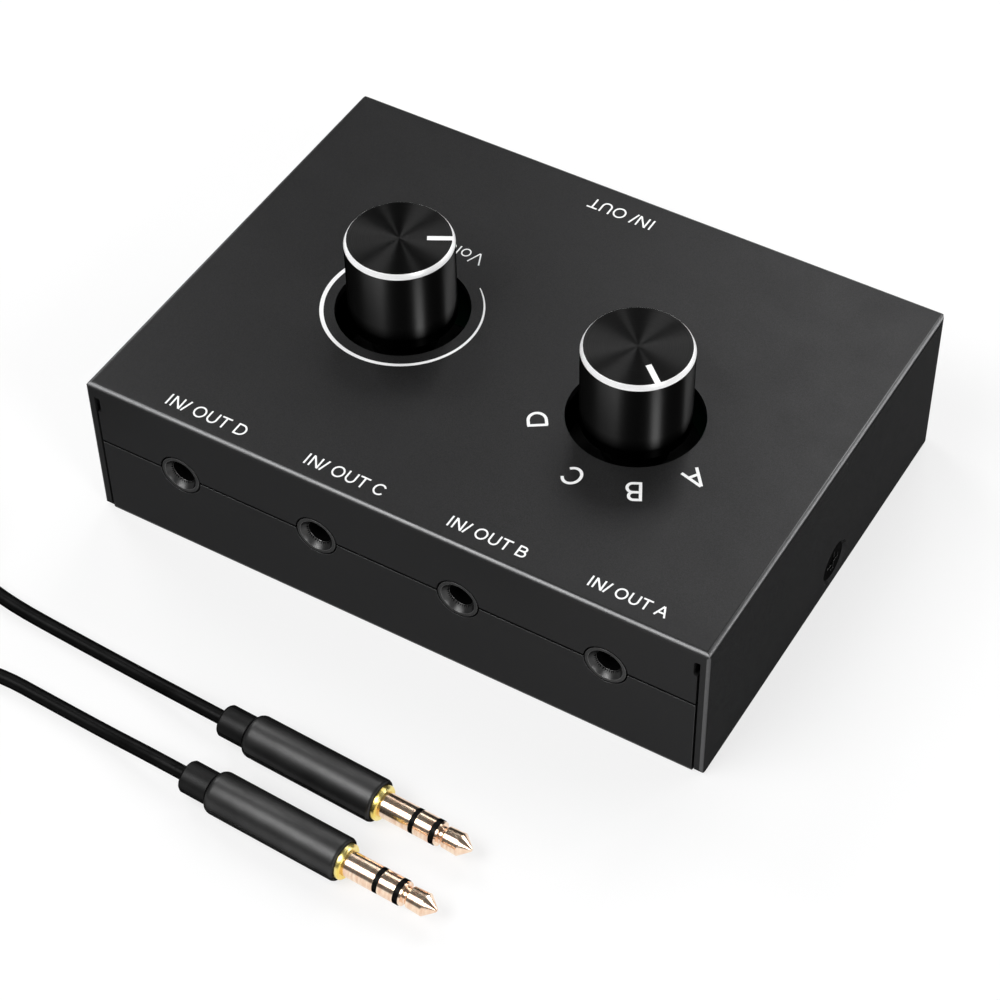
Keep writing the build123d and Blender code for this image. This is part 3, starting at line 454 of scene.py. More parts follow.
def lathe(name, outline, origin, axis, body, materials, segments=96):
    """Turned piece. Outline corners are (along, radius, material index of the band that follows)."""
    uv_length = 20.0       # length of outline that fills the UV map once
    axis = Vector(axis).normalized()
    side = Vector((1, 0, 0)) if axis.z == 1 else axis.orthogonal().normalized()
    other = axis.cross(side)
    start = Vector(origin)
    mesh = bpy.data.meshes.new(name)
    bm = start_edit()
    uv = bm.loops.layers.uv.new("turned")
    rings = []
    for along, radius, _ in outline:
        middle = start + axis * along
        if radius < TOUCHING:
            rings.append([bm.verts.new(middle * MM)])
            continue
        ring = []
        for i in range(segments):
            turn = 2 * pi * i / segments
            ring.append(bm.verts.new((middle + (side * cos(turn) + other * sin(turn)) * radius) * MM))
        rings.append(ring)
    bands = zip(rings, rings[1:] + rings[:1], outline, outline[1:] + outline[:1])
    for ring, following, corner, next_corner in bands:
        if len(ring) == 1 and len(following) == 1:
            continue
        for i in range(segments):
            corners = ring_corners(ring, i, corner) + ring_corners(following, i, next_corner)[::-1]
            face = bm.faces.new([c[0] for c in corners])
            face.material_index = corner[2]
            for loop, (_, step, spot) in zip(face.loops, corners):
                loop[uv].uv = (step / segments, (spot[0] + spot[1]) / uv_length)
    bmesh.ops.recalc_face_normals(bm, faces=bm.faces)
    end_edit(bm, mesh)
    return finish_mesh(name, mesh, body, materials)


def merged_copy(node, name):
    """Copy of a CAD node's mesh with its triangles joined into faces."""
    same_point = 0.001
    same_plane = 0.5       # degrees
    mesh = frame["nodes"][node].data.copy()
    mesh.materials.clear()
    mesh.name = name
    bm = start_edit(mesh)
    bmesh.ops.remove_doubles(bm, verts=bm.verts, dist=same_point * MM)
    bmesh.ops.dissolve_limit(bm, angle_limit=radians(same_plane), verts=bm.verts, edges=bm.edges)
    end_edit(bm, mesh)
    return mesh


# ---- Geometry Nodes recipes ----
class Recipe:
    """A Geometry Nodes tree with named inputs. A run of it leaves a plain mesh."""

    def __init__(self, name, inputs):
        self.tree = bpy.data.node_groups.new(name, "GeometryNodeTree")
        panel = self.tree.interface
        panel.new_socket("Geometry", in_out="INPUT", socket_type="NodeSocketGeometry")
        self.identifiers = {}
        for label, kind in [*inputs.items(), ("Finish", "Material")]:
            socket = panel.new_socket(label, in_out="INPUT", socket_type="NodeSocket" + kind)
            self.identifiers[label] = socket.identifier
        panel.new_socket("Geometry", in_out="OUTPUT", socket_type="NodeSocketGeometry")
        self.given = self.tree.nodes.new("NodeGroupInput").outputs
        self.result = self.tree.nodes.new("NodeGroupOutput")

    def step(self, kind, output=0, settings=None, **inputs):
        """Adds a node and returns one of its outputs."""
        return add_node(self.tree, kind, settings=settings, **inputs)[output]

    def close(self, geometry):
        """Ends the tree: real geometry with its finish."""
        real = self.step("GeometryNodeRealizeInstances", Geometry=geometry)
        finished = self.step("GeometryNodeSetMaterial", Geometry=real, Material=self.given["Finish"])
        self.tree.links.new(finished, self.result.inputs["Geometry"])

    def run(self, name, source, values):
        """Feeds a mesh through the tree and returns the result as a mesh of its own."""
        maker = add_object(name + "_maker", source)
        modifier = maker.modifiers.new("recipe", "NODES")
        modifier.node_group = self.tree
        for label, value in values.items():
            modifier[self.identifiers[label]] = value
        return applied(maker, name)


def ribbon_recipe():
    """Lays a flat bar of ink along each chain of edges."""
    made = Recipe("ink_ribbon", {"Stroke Width": "Float", "Ink Height": "Float"})
    line = made.step("GeometryNodeMeshToCurve", Mesh=made.given["Geometry"])
    section = made.step("GeometryNodeCurvePrimitiveQuadrilateral", Width=made.given["Stroke Width"],
                        Height=made.given["Ink Height"])
    made.close(made.step("GeometryNodeCurveToMesh", Curve=line, Profile_Curve=section, Fill_Caps=True))
    return made


def scale_recipe():
    """Draws a printed arc that widens from its start to its end, quickly at first."""
    made = Recipe("widening_scale", {"Steps": "Int", "Radius": "Float", "Start Angle": "Float",
                                     "Sweep Angle": "Float", "Thin": "Float", "Thick": "Float",
                                     "Ink Height": "Float", "Centre": "Vector"})
    arc_line = made.step("GeometryNodeCurveArc", settings={"mode": "RADIUS"},
                         Resolution=made.given["Steps"], Radius=made.given["Radius"],
                         Start_Angle=made.given["Start Angle"], Sweep_Angle=made.given["Sweep Angle"])
    along = made.step("GeometryNodeSplineParameter")
    quickly = made.step("ShaderNodeMath", settings={"operation": "SQRT"}, Value=along)
    width = made.step("ShaderNodeMapRange", Value=quickly, To_Min=made.given["Thin"],
                      To_Max=made.given["Thick"])
    section = made.step("GeometryNodeCurvePrimitiveQuadrilateral", Width=MM,
                        Height=made.given["Ink Height"])
    bar = made.step("GeometryNodeCurveToMesh", Curve=arc_line, Profile_Curve=section, Scale=width,
                    Fill_Caps=True)
    made.close(made.step("GeometryNodeTransform", Geometry=bar, Translation=made.given["Centre"]))
    return made


def repeat_recipe():
    """Sets one pattern piece at each point, turned about Z by the point's own turn."""
    made = Recipe("repeated_part", {"Pattern": "Object"})
    pattern = made.step("GeometryNodeObjectInfo", "Geometry", Object=made.given["Pattern"])
    turn = made.step("GeometryNodeInputNamedAttribute", settings={"data_type": "FLOAT"}, Name="turn")
    spin = made.step("ShaderNodeCombineXYZ", Z=turn)
    rotation = made.step("FunctionNodeEulerToRotation", Euler=spin)
    made.close(made.step("GeometryNodeInstanceOnPoints", Points=made.given["Geometry"], Instance=pattern,
                         Rotation=rotation))
    return made


def strap_recipe():
    """Bends a flat strap round a closed chain of corners."""
    made = Recipe("rounded_strap", {"Corner Radius": "Float", "Strap Width": "Float",
                                    "Strap Thickness": "Float"})
    line = made.step("GeometryNodeMeshToCurve", Mesh=made.given["Geometry"])
    bent = made.step("GeometryNodeFilletCurve", settings={"mode": "POLY"}, Curve=line, Count=6,
                     Radius=made.given["Corner Radius"], Limit_Radius=True)
    section = made.step("GeometryNodeCurvePrimitiveQuadrilateral", Width=made.given["Strap Width"],
                        Height=made.given["Strap Thickness"])
    made.close(made.step("GeometryNodeCurveToMesh", Curve=bent, Profile_Curve=section, Fill_Caps=True))
    return made


ink_ribbon = ribbon_recipe()
widening_scale = scale_recipe()
repeated_part = repeat_recipe()
rounded_strap = strap_recipe()


def chains(name, lines):
    """Mesh of edges from lines of points. A line that ends where it starts is closed."""
    mesh = bpy.data.meshes.new(name)
    bm = start_edit()
    for line in lines:
        closed = (Vector(line[0]) - Vector(line[-1])).length < TOUCHING
        verts = [bm.verts.new(Vector(p) * MM) for p in (line[:-1] if closed else line)]
        for a, b in zip(verts, verts[1:] + (verts[:1] if closed else [])):
            bm.edges.new((a, b))
    end_edit(bm, mesh)
    return mesh


# ---- Case ----
def press_folds(mesh):
    """Flattens the middle of the cover's upper folds a little, as a press brake leaves them."""
    radius = 0.8
    start, end = 22.0, 66.0        # degrees from the fold's top between which it is flat
    beside, off_surface = 0.001, 0.01      # slack in telling which points lie on a fold
    first, last = [Vector((sin(radians(a)), cos(radians(a)))) * radius for a in (start, end)]
    for vert in mesh.vertices:
        x, y, z = vert.co / MM
        out = Vector((abs(x) - half_width + radius, abs(y) - half_depth + radius))
        up = z - panel_top + radius
        reach = max(out)
        if reach < beside or up < beside or abs(hypot(reach, up) - radius) > off_surface:
            continue
        share = (degrees(atan2(reach, up)) - start) / (end - start)
        if not 0 < share < 1:
            continue
        flat = first.lerp(last, share)
        for axis, value in enumerate((x, y)):
            if out[axis] > beside:
                vert.co[axis] += copysign(flat.x - reach, value) * MM
        vert.co.z += (flat.y - up) * MM


def round_corners(mesh):
    """Takes the cover's upright outer corners down to a round, by four blocks cut from it."""
    front_radius, back_radius = 0.45, 1.3
    beyond = 1.0                   # how far the blocks reach past the cover
    first, last, step = 6, 84, 6   # degrees; the round stops short of its two ends
    blocks = bpy.data.meshes.new("corner_blocks")
    bm = start_edit()
    for across, along in ((-1, -1), (-1, 1), (1, -1), (1, 1)):
        radius = front_radius if along < 0 else back_radius
        centre = Vector((across * (half_width - radius), along * (half_depth - radius)))
        outline = [centre + Vector((across * cos(radians(t)), along * sin(radians(t)))) * radius
                   for t in range(first, last + 1, step)]
        outline += [Vector((outline[-1].x, along * (half_depth + beyond))),
                    Vector((across * (half_width + beyond), along * (half_depth + beyond))),
                    Vector((across * (half_width + beyond), outline[0].y))]
        prism(bm, outline, -beyond, panel_top + beyond)
    bmesh.ops.recalc_face_normals(bm, faces=bm.faces)
    end_edit(bm, blocks)
    cutter = add_object("corner_blocks", blocks)
    cover = add_object("cover_work", mesh)
    cut = cover.modifiers.new("corners", "BOOLEAN")
    cut.operation = "DIFFERENCE"
    cut.solver = "EXACT"
    cut.object = cutter
    made = applied(cover, mesh.name)
    bpy.data.objects.remove(cutter)
    return made


def open_seam(mesh):
    """Lifts the flaps' lower edge a little, so that the seam stays a clear dark line."""
    flap_edge = jack_axis + 0.15           # height of that edge
    lift, near = 0.12, 0.02
    for vert in mesh.vertices:
        if abs(vert.co.z / MM - flap_edge) < near:
            vert.co.z += lift * MM


def cover_finish(face):
    """Which finish a face of the cover has: 0 the paint, 1 the near-black painted shade in the panel holes,
    2 the fold's paint.
    """
    hole_radius, sheet = 9.8, 1.25         # of the panel and its holes, with a little to spare
    fold_drop, corner_reach = 0.6, 1.0     # how far the upper folds and the upright corners reach
    upright, sloped, level, square = 0.5, 0.45, 0.97, 0.05     # limits of a normal's parts
    spot, normal = face.center / MM, face.normal
    from_hole = min(hypot(spot.x - c.x, spot.y - c.y) for c in (volume_centre, selector_centre))
    # painted shade: the walls of the panel holes take the near-black finish
    if spot.z > panel_top - sheet and abs(normal.z) < upright and from_hole < hole_radius:
        return 1
    if sloped < normal.z < level and spot.z > panel_top - fold_drop:
        return 2
    at_corner = abs(spot.x) > half_width - corner_reach and abs(spot.y) > half_depth - corner_reach
    if at_corner and abs(normal.x) > square and abs(normal.y) > square:
        return 2
    return 0


def cover_skin():
    """The top cover: near-black painted shade on the walls of its two panel holes, glossier paint on folds
    and corners.
    """
    mesh = merged_copy("top_cover", "top_cover_skin")
    press_folds(mesh)
    mesh = round_corners(mesh)
    open_seam(mesh)
    mesh.materials.clear()
    for face in mesh.polygons:
        face.material_index = cover_finish(face)
    piece = finish_mesh("top_cover_skin", mesh, "case", [paint, painted_shade_black, fold_paint], 30.0)
    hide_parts("top_cover")
    flatten_shading(round_edges(piece, 0.10, 3, finish=0))


def tray_skin():
    """The folded tray: glossier on its folds and along the seam, near-black painted shade on its flaps'
    tops at the seam.
    """
    square, level = 0.03, 0.97     # limits of a normal's upward part
    near_seam = 0.4
    mesh = merged_copy("base_tray", "base_tray_skin")
    for face in mesh.polygons:
        if square < abs(face.normal.z) < level:
            face.material_index = 1
        # painted shade: the flaps' tops at the seam take the near-black finish
        elif face.normal.z >= level and abs(face.center.z / MM - jack_axis) < near_seam:
            face.material_index = 2
    piece = finish_mesh("base_tray_skin", mesh, "case", [paint, fold_paint, painted_shade_black], 30.0)
    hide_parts("base_tray")
    flatten_shading(round_edges(piece, 0.24, 3, finish=1))


def repeated_screws(node, name, finish, spots, width):
    """Takes one fastener of a CAD node as the pattern and sets it at every spot (x, y, turn in degrees)."""
    mesh = merged_copy(node, name + "_pattern")
    bm = start_edit(mesh)

    def nearest_spot(vert):
        return min(range(len(spots)),
                   key=lambda k: hypot(vert.co.x / MM - spots[k][0], vert.co.y / MM - spots[k][1]))

    first = Vector(spots[0][:2])
    bmesh.ops.delete(bm, geom=[v for v in bm.verts if nearest_spot(v) != 0], context="VERTS")
    bmesh.ops.translate(bm, verts=bm.verts, vec=(-first.x * MM, -first.y * MM, 0))
    end_edit(bm, mesh)
    pattern = add_object(name + "_pattern", mesh)
    points = bpy.data.meshes.new(name + "_points")
    points.from_pydata([(x * MM, y * MM, 0) for x, y, _ in spots], [], [])
    turns = points.attributes.new("turn", "FLOAT", "POINT")
    for item, (_, _, turn) in zip(turns.data, spots):
        item.value = radians(turn)
    made = repeated_part.run(name, points, {"Pattern": pattern, "Finish": finish})
    bpy.data.objects.remove(pattern)
    piece = finish_mesh(name, made, "case", [], 30.0)
    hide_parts(node)
    round_edges(piece, width, 2)


def fastener_spots(node):
    """Plan centres of a node's separate pieces, first the one furthest to the right."""
    mesh = merged_copy(node, node + "_spots")
    bm = start_edit(mesh)
    left = set(bm.verts)
    spots = []
    while left:
        island = [left.pop()]
        for vert in island:
            for edge in vert.link_edges:
                other = edge.other_vert(vert)
                if other in left:
                    left.remove(other)
                    island.append(other)
        xs = [v.co.x / MM for v in island]
        ys = [v.co.y / MM for v in island]
        spots.append(((min(xs) + max(xs)) / 2, (min(ys) + max(ys)) / 2))
    bm.free()
    bpy.data.meshes.remove(mesh)
    return sorted(spots, key=lambda s: (-s[0], s[1]))


def jack_body(jack, x):
    """A jack's housing: the deep part of its bore takes a darker finish as painted shade, and the rounds on
    its nose a lighter one as a painted highlight.
    """
    mouth_radius, near = 2.65, 0.03
    narrowing = 0.04               # share by which the mouth's wide end is drawn in
    bore_radius = 1.9              # with a little to spare
    mouth_depth = 0.5
    mesh = merged_copy(f"jack_housing_{jack}", f"jack_body_{jack}")
    for vert in mesh.vertices:
        across, up = vert.co.x / MM - x, vert.co.z / MM - jack_axis
        if abs(hypot(across, up) - mouth_radius) < near:
            vert.co.x -= across * narrowing * MM
            vert.co.z -= up * narrowing * MM
    for face in mesh.polygons:
        spot = face.center / MM
        in_bore = hypot(spot.x - x, spot.z - jack_axis) < bore_radius
        # painted shade: the deep part of the bore takes the darker core finish
        if in_bore and abs(spot.y) < half_depth - mouth_depth:
            face.material_index = 2
    piece = finish_mesh(f"jack_body_{jack}", mesh, "case",
                        [jack_black, jack_edge, core_black_and_bore_shade], 30.0)
    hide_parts(f"jack_housing_{jack}")
    # painted highlight on the nose's rounded edges
    round_edges(piece, 0.10, 3, finish=1)


cover_skin()
tray_skin()
side_spots = fastener_spots("side_screws")
repeated_screws("side_screws", "side_screw_pair", steel_black,
                [(*side_spots[0], 0.0), (*side_spots[1], 180.0)], 0.04)
repeated_screws("board_screws", "board_screw_set", finishes["zinc_steel"],
                [(*spot, 0.0) for spot in fastener_spots("board_screws")], 0.03)
repeated_screws("board_standoffs", "board_standoff_set", finishes["zinc_steel"],
                [(*spot, 0.0) for spot in fastener_spots("board_standoffs")], 0.03)
for jack, x in jack_places.items():
    jack_body(jack, x)


# ---- Lettering and the volume scale ----
ink_height = 0.02
stroke_lift = 0.0015       # keeps strokes that cross from lying in one plane


def bow(x, y, wide, high, start, end, steps=14):
    """Points of an elliptic arc, angles in degrees."""
    return [(x + wide * cos(radians(start + (end - start) * i / steps)),
             y + high * sin(radians(start + (end - start) * i / steps))) for i in range(steps + 1)]


# each letter: its advance, then its strokes' centre lines, in cap heights
letters = {
    " ": (0.388, []),
    "/": (0.388, [[(0.04, -0.02), (0.345, 1.02)]]),
    "I": (0.388, [[(0.195, 0), (0.195, 1)]]),
    "N": (1.009, [[(0.172, 0), (0.172, 1)], [(0.19, 0.97), (0.82, 0.03)], [(0.838, 0), (0.838, 1)]]),
    "O": (1.087, [bow(0.543, 0.5, 0.412, 0.452, 0, 360, 40)]),
    "U": (1.009, [[(0.172, 1)] + bow(0.505, 0.39, 0.333, 0.342, 180, 360, 20) + [(0.838, 1)]]),
    "T": (0.853, [[(0.035, 0.941), (0.818, 0.941)], [(0.426, 0), (0.426, 0.93)]]),
    "A": (0.932, [[(0.055, 0), (0.452, 0.985)], [(0.877, 0), (0.480, 0.985)],
                  [(0.20, 0.355), (0.732, 0.355)]]),
    "B": (0.932, [[(0.17, 0), (0.17, 1)],
                  [(0.17, 0.94), (0.50, 0.94)] + bow(0.50, 0.738, 0.225, 0.202, 80, -80)
                  + [(0.50, 0.536), (0.17, 0.536)],
                  [(0.50, 0.536)] + bow(0.53, 0.298, 0.27, 0.238, 80, -80) + [(0.53, 0.06), (0.17, 0.06)]]),
    "C": (1.009, [bow(0.515, 0.5, 0.395, 0.452, 36, 324, 34)]),
    "D": (1.009, [[(0.174, 0), (0.174, 1)],
                  [(0.174, 0.94), (0.46, 0.94)] + bow(0.46, 0.5, 0.425, 0.44, 82, -82, 24)
                  + [(0.46, 0.06), (0.174, 0.06)]]),
    "V": (0.932, [[(0.055, 1), (0.452, 0.015)], [(0.877, 1), (0.480, 0.015)]]),
    "o": (0.777, [bow(0.389, 0.362, 0.28, 0.316, 0, 360, 32)]),
    "l": (0.310, [[(0.155, 0), (0.155, 1)]]),
    "u": (0.777, [[(0.150, 0.7245)] + bow(0.385, 0.27, 0.235, 0.222, 180, 345, 16),
                  [(0.627, 0), (0.627, 0.7245)]]),
    "m": (1.164, [[(0.150, 0), (0.150, 0.7245)], bow(0.366, 0.46, 0.216, 0.215, 165, 0, 14) + [(0.582, 0)],
                  bow(0.798, 0.46, 0.216, 0.215, 165, 0, 14) + [(1.014, 0)]]),
    "e": (0.777, [[(0.12, 0.395), (0.655, 0.395)], bow(0.389, 0.362, 0.28, 0.316, 6, 325, 28)]),
}


def printed_words(name, words, x, y, cap, stroke, turn, wide=1.0):
    """Ink strokes of a word on the top panel, the middle of its capitals at a point."""
    lines, pen = [], 0.0
    for letter in words:
        advance, strokes = letters[letter]
        lines += [[(pen + across, up) for across, up in stroke_line] for stroke_line in strokes]
        pen += advance
    spin = Matrix.Rotation(radians(turn), 2)
    middle = Vector((pen / 2, 0.5))
    placed = []
    for layer, line in enumerate(lines):
        spots = [spin @ Vector(((across - middle.x) * cap * wide, (up - middle.y) * cap)) + Vector((x, y))
                 for across, up in line]
        height = panel_top + ink_height / 2 + layer * stroke_lift
        placed.append([(spot.x, spot.y, height) for spot in spots])
    mesh = ink_ribbon.run(name, chains(name + "_lines", placed), {
        "Stroke Width": stroke * MM, "Ink Height": ink_height * MM, "Finish": white_ink})
    finish_mesh(name, mesh, "case", [])


thin_stroke, small_stroke, large_stroke = 0.2, 0.25, 0.42
# each front mark: the middle of its words and its cap height
jack_marks = {"d": (-29.7, -31.9, 1.98), "c": (-7.85, -31.8, 1.92),
              "b": (13.8, -31.8, 1.84), "a": (34.1, -31.6, 1.76)}
for jack, (x, y, cap) in jack_marks.items():
    printed_words(f"mark_{jack}", f"IN/ OUT {jack.upper()}", x, y, cap, small_stroke, 0)
printed_words("mark_rear", "IN/ OUT", -1.1, 30.6, 2.06, small_stroke, 180)
printed_words("mark_volume", "Volume", -18.5, 12.3, 2.25, thin_stroke, 180)
# each position mark: its middle, cap height, width and how far it turns from pointing outward
position_marks = {"A": (31.99, -9.61, 3.25, 0.84, -6), "B": (26.22, -15.59, 3.3, 0.84, 0),
                  "C": (17.89, -17.18, 3.15, 0.95, 0), "D": (8.85, -10.65, 2.75, 1.15, 0)}
for letter, (x, y, cap, wide, lean) in position_marks.items():
    outward = Vector((x, y)) - selector_centre
    turn = degrees(Vector((0, 1)).angle_signed(outward))
    printed_words(f"mark_position_{letter}", letter, x, y, cap, large_stroke, lean - turn, wide)

scale_radius, scale_start, scale_sweep = 11.27, 50.0, -280.0
scale_thin, scale_thick = 0.12, 0.66
scale_height = panel_top + ink_height / 3
scale_mesh = widening_scale.run("volume_scale", bpy.data.meshes.new("scale_start"), {
    "Steps": 180, "Radius": scale_radius * MM, "Start Angle": radians(scale_start),
    "Sweep Angle": radians(scale_sweep), "Thin": scale_thin, "Thick": scale_thick,
    "Ink Height": ink_height * MM, "Finish": white_ink,
    "Centre": (volume_centre.x * MM, volume_centre.y * MM, scale_height * MM)})
finish_mesh("volume_scale", scale_mesh, "case", [])


# ---- Knobs ----
rim_width, rim_drop = 0.4, 0.75


def knob(prefix, centre, body):
    """Turned knob: gloss side, bright bevelled rim and a lathe-turned face."""
    sunk = 0.02                    # depth of the face below the pointer's line
    wall, cap, foot = 1.6, 2.2, 0.25
    rim_turn = (0.46, 0.42)        # shares of the rim's width and drop at which its slope changes
    low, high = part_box(f"{prefix}_knob")
    tall = (high.z - low.z) / MM - sunk
    radius = (high.x - low.x) / 2 / MM
    outline = [(tall, 0, 1), (tall, radius - rim_width, 2),
               (tall - rim_drop * rim_turn[1], radius - rim_width * rim_turn[0], 2),
               (tall - rim_drop, radius, 0), (foot, radius, 0), (0, radius - foot, 0),
               (0, radius - wall, 0), (tall - cap, radius - wall, 0), (tall - cap, 0, 0)]
    finish_of_band = [side_black, knob_face(f"{prefix}_knob_face", centre), bright]
    piece = lathe(f"{prefix}_knob_turned", outline, (centre.x, centre.y, low.z / MM), (0, 0, 1), body,
                  finish_of_band, segments=160)
    round_edges(piece, 0.04, 2)
    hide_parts(f"{prefix}_knob")


def pointer(prefix, centre, angle, body):
    """White line filled level with the knob's face, its outer end on the rim."""
    length, width = 3.45, 0.8
    end_angles = (-3.2, -1.6, 0, 1.6, 3.2)
    knob_low, knob_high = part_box(f"{prefix}_knob")
    low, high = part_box(f"{prefix}_pointer")
    reach = (knob_high.x - knob_low.x) / 2 / MM - rim_width
    outline = [(reach - length, -width / 2)]
    outline += [(reach * cos(radians(t)), reach * sin(radians(t))) for t in end_angles]
    outline += [(reach - length, width / 2)]
    mesh = bpy.data.meshes.new(f"{prefix}_pointer_line")
    bm = start_edit()
    prism(bm, outline, low.z / MM, high.z / MM)
    bmesh.ops.rotate(bm, verts=bm.verts, matrix=Matrix.Rotation(radians(angle), 3, "Z"))
    bmesh.ops.translate(bm, verts=bm.verts, vec=(centre.x * MM, centre.y * MM, 0))
    bmesh.ops.recalc_face_normals(bm, faces=bm.faces)
    end_edit(bm, mesh)
    piece = finish_mesh(f"{prefix}_pointer_line", mesh, body, [white_ink])
    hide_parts(f"{prefix}_pointer")


knob("volume", volume_centre, "volume_dial")
knob("selector", selector_centre, "selector_dial")
volume_pointer_angle, selector_pointer_angle = 29.0, -41.0
pointer("volume", volume_centre, volume_pointer_angle, "volume_dial")
pointer("selector", selector_centre, selector_pointer_angle, "selector_dial")


# ---- Plugs ----
shell_start, shell_end = 4.5, 24.7       # places along a plug, from where its cord enters
flange_start, sleeve_start = 23.9, 25.4
ring_start = sleeve_start + 5.25
tip_start = ring_start + 3.05
plug_end = tip_start + 4.9
insulator_gap = 0.7
barrel, core, pin = 1.75, 1.2, 0.6       # radii: contacts, insulator in them, the tip's rod in it
flange_radius, shell_bore, relief_radius = 2.45, 2.5, 2.25


def plug(number, point):
    """Dresses one plug's pieces and returns them."""
    heading = Vector((cos(plug_heading), sin(plug_heading), 0))
    origin = Vector((point[0], point[1], plug_radius))
    first, second = ring_start - insulator_gap, tip_start - insulator_gap
    rib = barrel - 0.01
    mouth = shell_start + 0.9
    made = []

    def turn(part, slot, finish, outline, width=0.05):
        corners = [(along, radius, 0) for along, radius in outline]
        piece = lathe(f"plug_{number}_{part}_turned", corners, origin, heading, "case", [finish])
        round_edges(piece, width, 3, 20)
        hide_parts(f"plug_{number}_{part}")
        made.append(piece)

    turn("shell", "plug_shell", shell_black, [
        (shell_start, relief_radius), (shell_start, 2.5), (shell_start + 0.25, 2.78),
        (shell_start + 0.55, 2.93), (mouth, plug_radius), (shell_end - 0.4, plug_radius),
        (shell_end - 0.12, 2.88), (shell_end, 2.6), (shell_end, shell_bore), (mouth, shell_bore),
        (mouth, relief_radius)])
    turn("relief", "cable_rubber", relief_black, [
        (0, 0), (0, 1.8), (0.12, 2.05), (0.4, relief_radius), (shell_start - 0.22, relief_radius),
        (shell_start - 0.16, 2.1), (shell_start + 0.05, 2.1), (shell_start + 0.12, relief_radius),
        (mouth, relief_radius), (mouth, shell_bore), (flange_start, shell_bore), (flange_start, 0)], 0.03)
    turn("flange", "plug_gold", gold, [
        (flange_start, barrel), (flange_start, flange_radius), (sleeve_start - 0.2, flange_radius),
        (sleeve_start, 2.25), (sleeve_start, barrel)])
    turn("sleeve", "contact_gold", rose_gold, [
        (flange_start, core), (flange_start, barrel), (first, barrel), (first, core)])
    turn("ring", "contact_gold", rose_gold, [
        (ring_start, core), (ring_start, barrel), (second, barrel), (second, core)])
    turn("insulator", "plug_insulator", insulator_black, [
        (flange_start, pin), (flange_start, core), (first, core), (first, rib), (ring_start, rib),
        (ring_start, core), (second, core), (second, rib), (tip_start, rib), (tip_start, pin)], 0.02)
    turn("tip", "contact_gold", rose_gold, [
        (flange_start, 0), (flange_start, pin), (tip_start, pin), (tip_start, 1.65),
        (tip_start + 0.35, 1.65), (tip_start + 0.35, core), (tip_start + 0.85, core),
        (tip_start + 1.1, 1.475), (tip_start + 3.3, 1.575), (plug_end - 0.12, 0.32), (plug_end, 0.2),
        (plug_end, 0)])
    return made


lead_pieces = plug(1, plug_points[0]) + plug(2, plug_points[1])


# ---- Lead ----
coil_centre = Vector((-72.5, -62.5))
coil_bottom = 0.5
mean_turn = 12.0              # radius of the coil's middle turns
columns, layers = 3, 4
tail_step = 2.0               # how far outside the outer turns the cord leaves the coil
points_per_turn = 24
shift_window = 40.0           # degrees over which the cord steps to the next place
first_row = coil_bottom + cord_radius
plug_stub = 6.0               # straight stretch of cord inside a plug


def straight_stub(point):
    """The cord's first two points, along its plug's axis."""
    end_x = point[0] - plug_stub * cos(plug_heading)
    end_y = point[1] - plug_stub * sin(plug_heading)
    return [(point[0], point[1], plug_radius), (end_x, end_y, plug_radius)]


lead_one = straight_stub(plug_points[0]) + [
    (-23.5, -58.65, 1.5), (-33.5, -57.9, 1.0), (-50.0, -57.0, 1.0), (-58.0, -54.2, 1.1),
    (-65.3, -49.9, 1.4)]
lead_two = straight_stub(plug_points[1]) + [
    (-22.0, -68.75, 1.5), (-31.5, -68.1, 1.0), (-42.5, -67.6, 1.0), (-52.0, -70.8, 1.0),
    (-62.0, -76.9, 1.0)]


def ease(share):
    """Smooth step from 0 to 1."""
    share = min(1.0, max(0.0, share))
    return share * share * (3 - 2 * share)


def coil_points():
    """The coil's turns: row on row, in and out, with each step to the next place in its own sector."""
    start_angle = 90              # where the first turn begins
    outer = mean_turn + (columns - 1) / 2 * cord_diameter
    places = []
    for row in range(layers):
        across = range(columns) if row % 2 == 0 else reversed(range(columns))
        places += [(outer - column * cord_diameter, first_row + row * cord_diameter) for column in across]
    # sectors are counted back from where the turns begin: row r steps across in sector 2r + 1 and
    # up to the next row in sector 2r + 2
    steps = []
    for k in range(len(places)):
        last_in_row = k % columns == columns - 1
        steps.append(360 * (k + 1) - shift_window * (2 * (k // columns) + (2 if last_in_row else 1)))
    tail = (outer + tail_step, cord_radius)
    end = 360 * (len(places) - 1) + 180       # the tail ends half a turn round the coil
    made = []
    count = int(end / 360 * points_per_turn)
    for i in range(count + 1):
        turn = end * i / count
        stage = sum(turn >= step for step in steps)
        if stage == 0:
            radius, height = places[0]
        else:
            before = places[stage - 1]
            after = places[stage] if stage < len(places) else (tail[0], before[1])
            share = ease((turn - steps[stage - 1]) / shift_window)
            radius = before[0] + (after[0] - before[0]) * share
            height = before[1] + (after[1] - before[1]) * share
            if stage == len(places):
                drop_start = steps[-1] + shift_window / 2
                height += (tail[1] - height) * ease((turn - drop_start) / (end - drop_start))
        radius /= cos(pi / points_per_turn)    # the curve runs inside its points
        angle = radians(start_angle + turn)
        made.append((coil_centre.x + radius * cos(angle), coil_centre.y + radius * sin(angle), height))
    return made


def cord_piece():
    """The whole lead as one smooth curve, from plug to plug through its coil."""
    points = lead_one + coil_points() + list(reversed(lead_two))
    curve = bpy.data.curves.new("lead_cord", "CURVE")
    curve.dimensions = "3D"
    spline = curve.splines.new("NURBS")
    spline.points.add(len(points) - 1)
    for spot, (x, y, z) in zip(spline.points, points):
        spot.co = (x * MM, y * MM, z * MM, 1)
    spline.order_u = 3
    spline.use_endpoint_u = True
    spline.resolution_u = 6
    curve.bevel_depth = cord_radius * MM
    curve.bevel_resolution = 6
    curve.use_fill_caps = True
    curve.materials.append(cable)
    piece = add_object("lead_cord", curve)
    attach(piece, "case")
    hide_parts("cord_lead_1", "cord_coil", "cord_lead_2")
    return piece


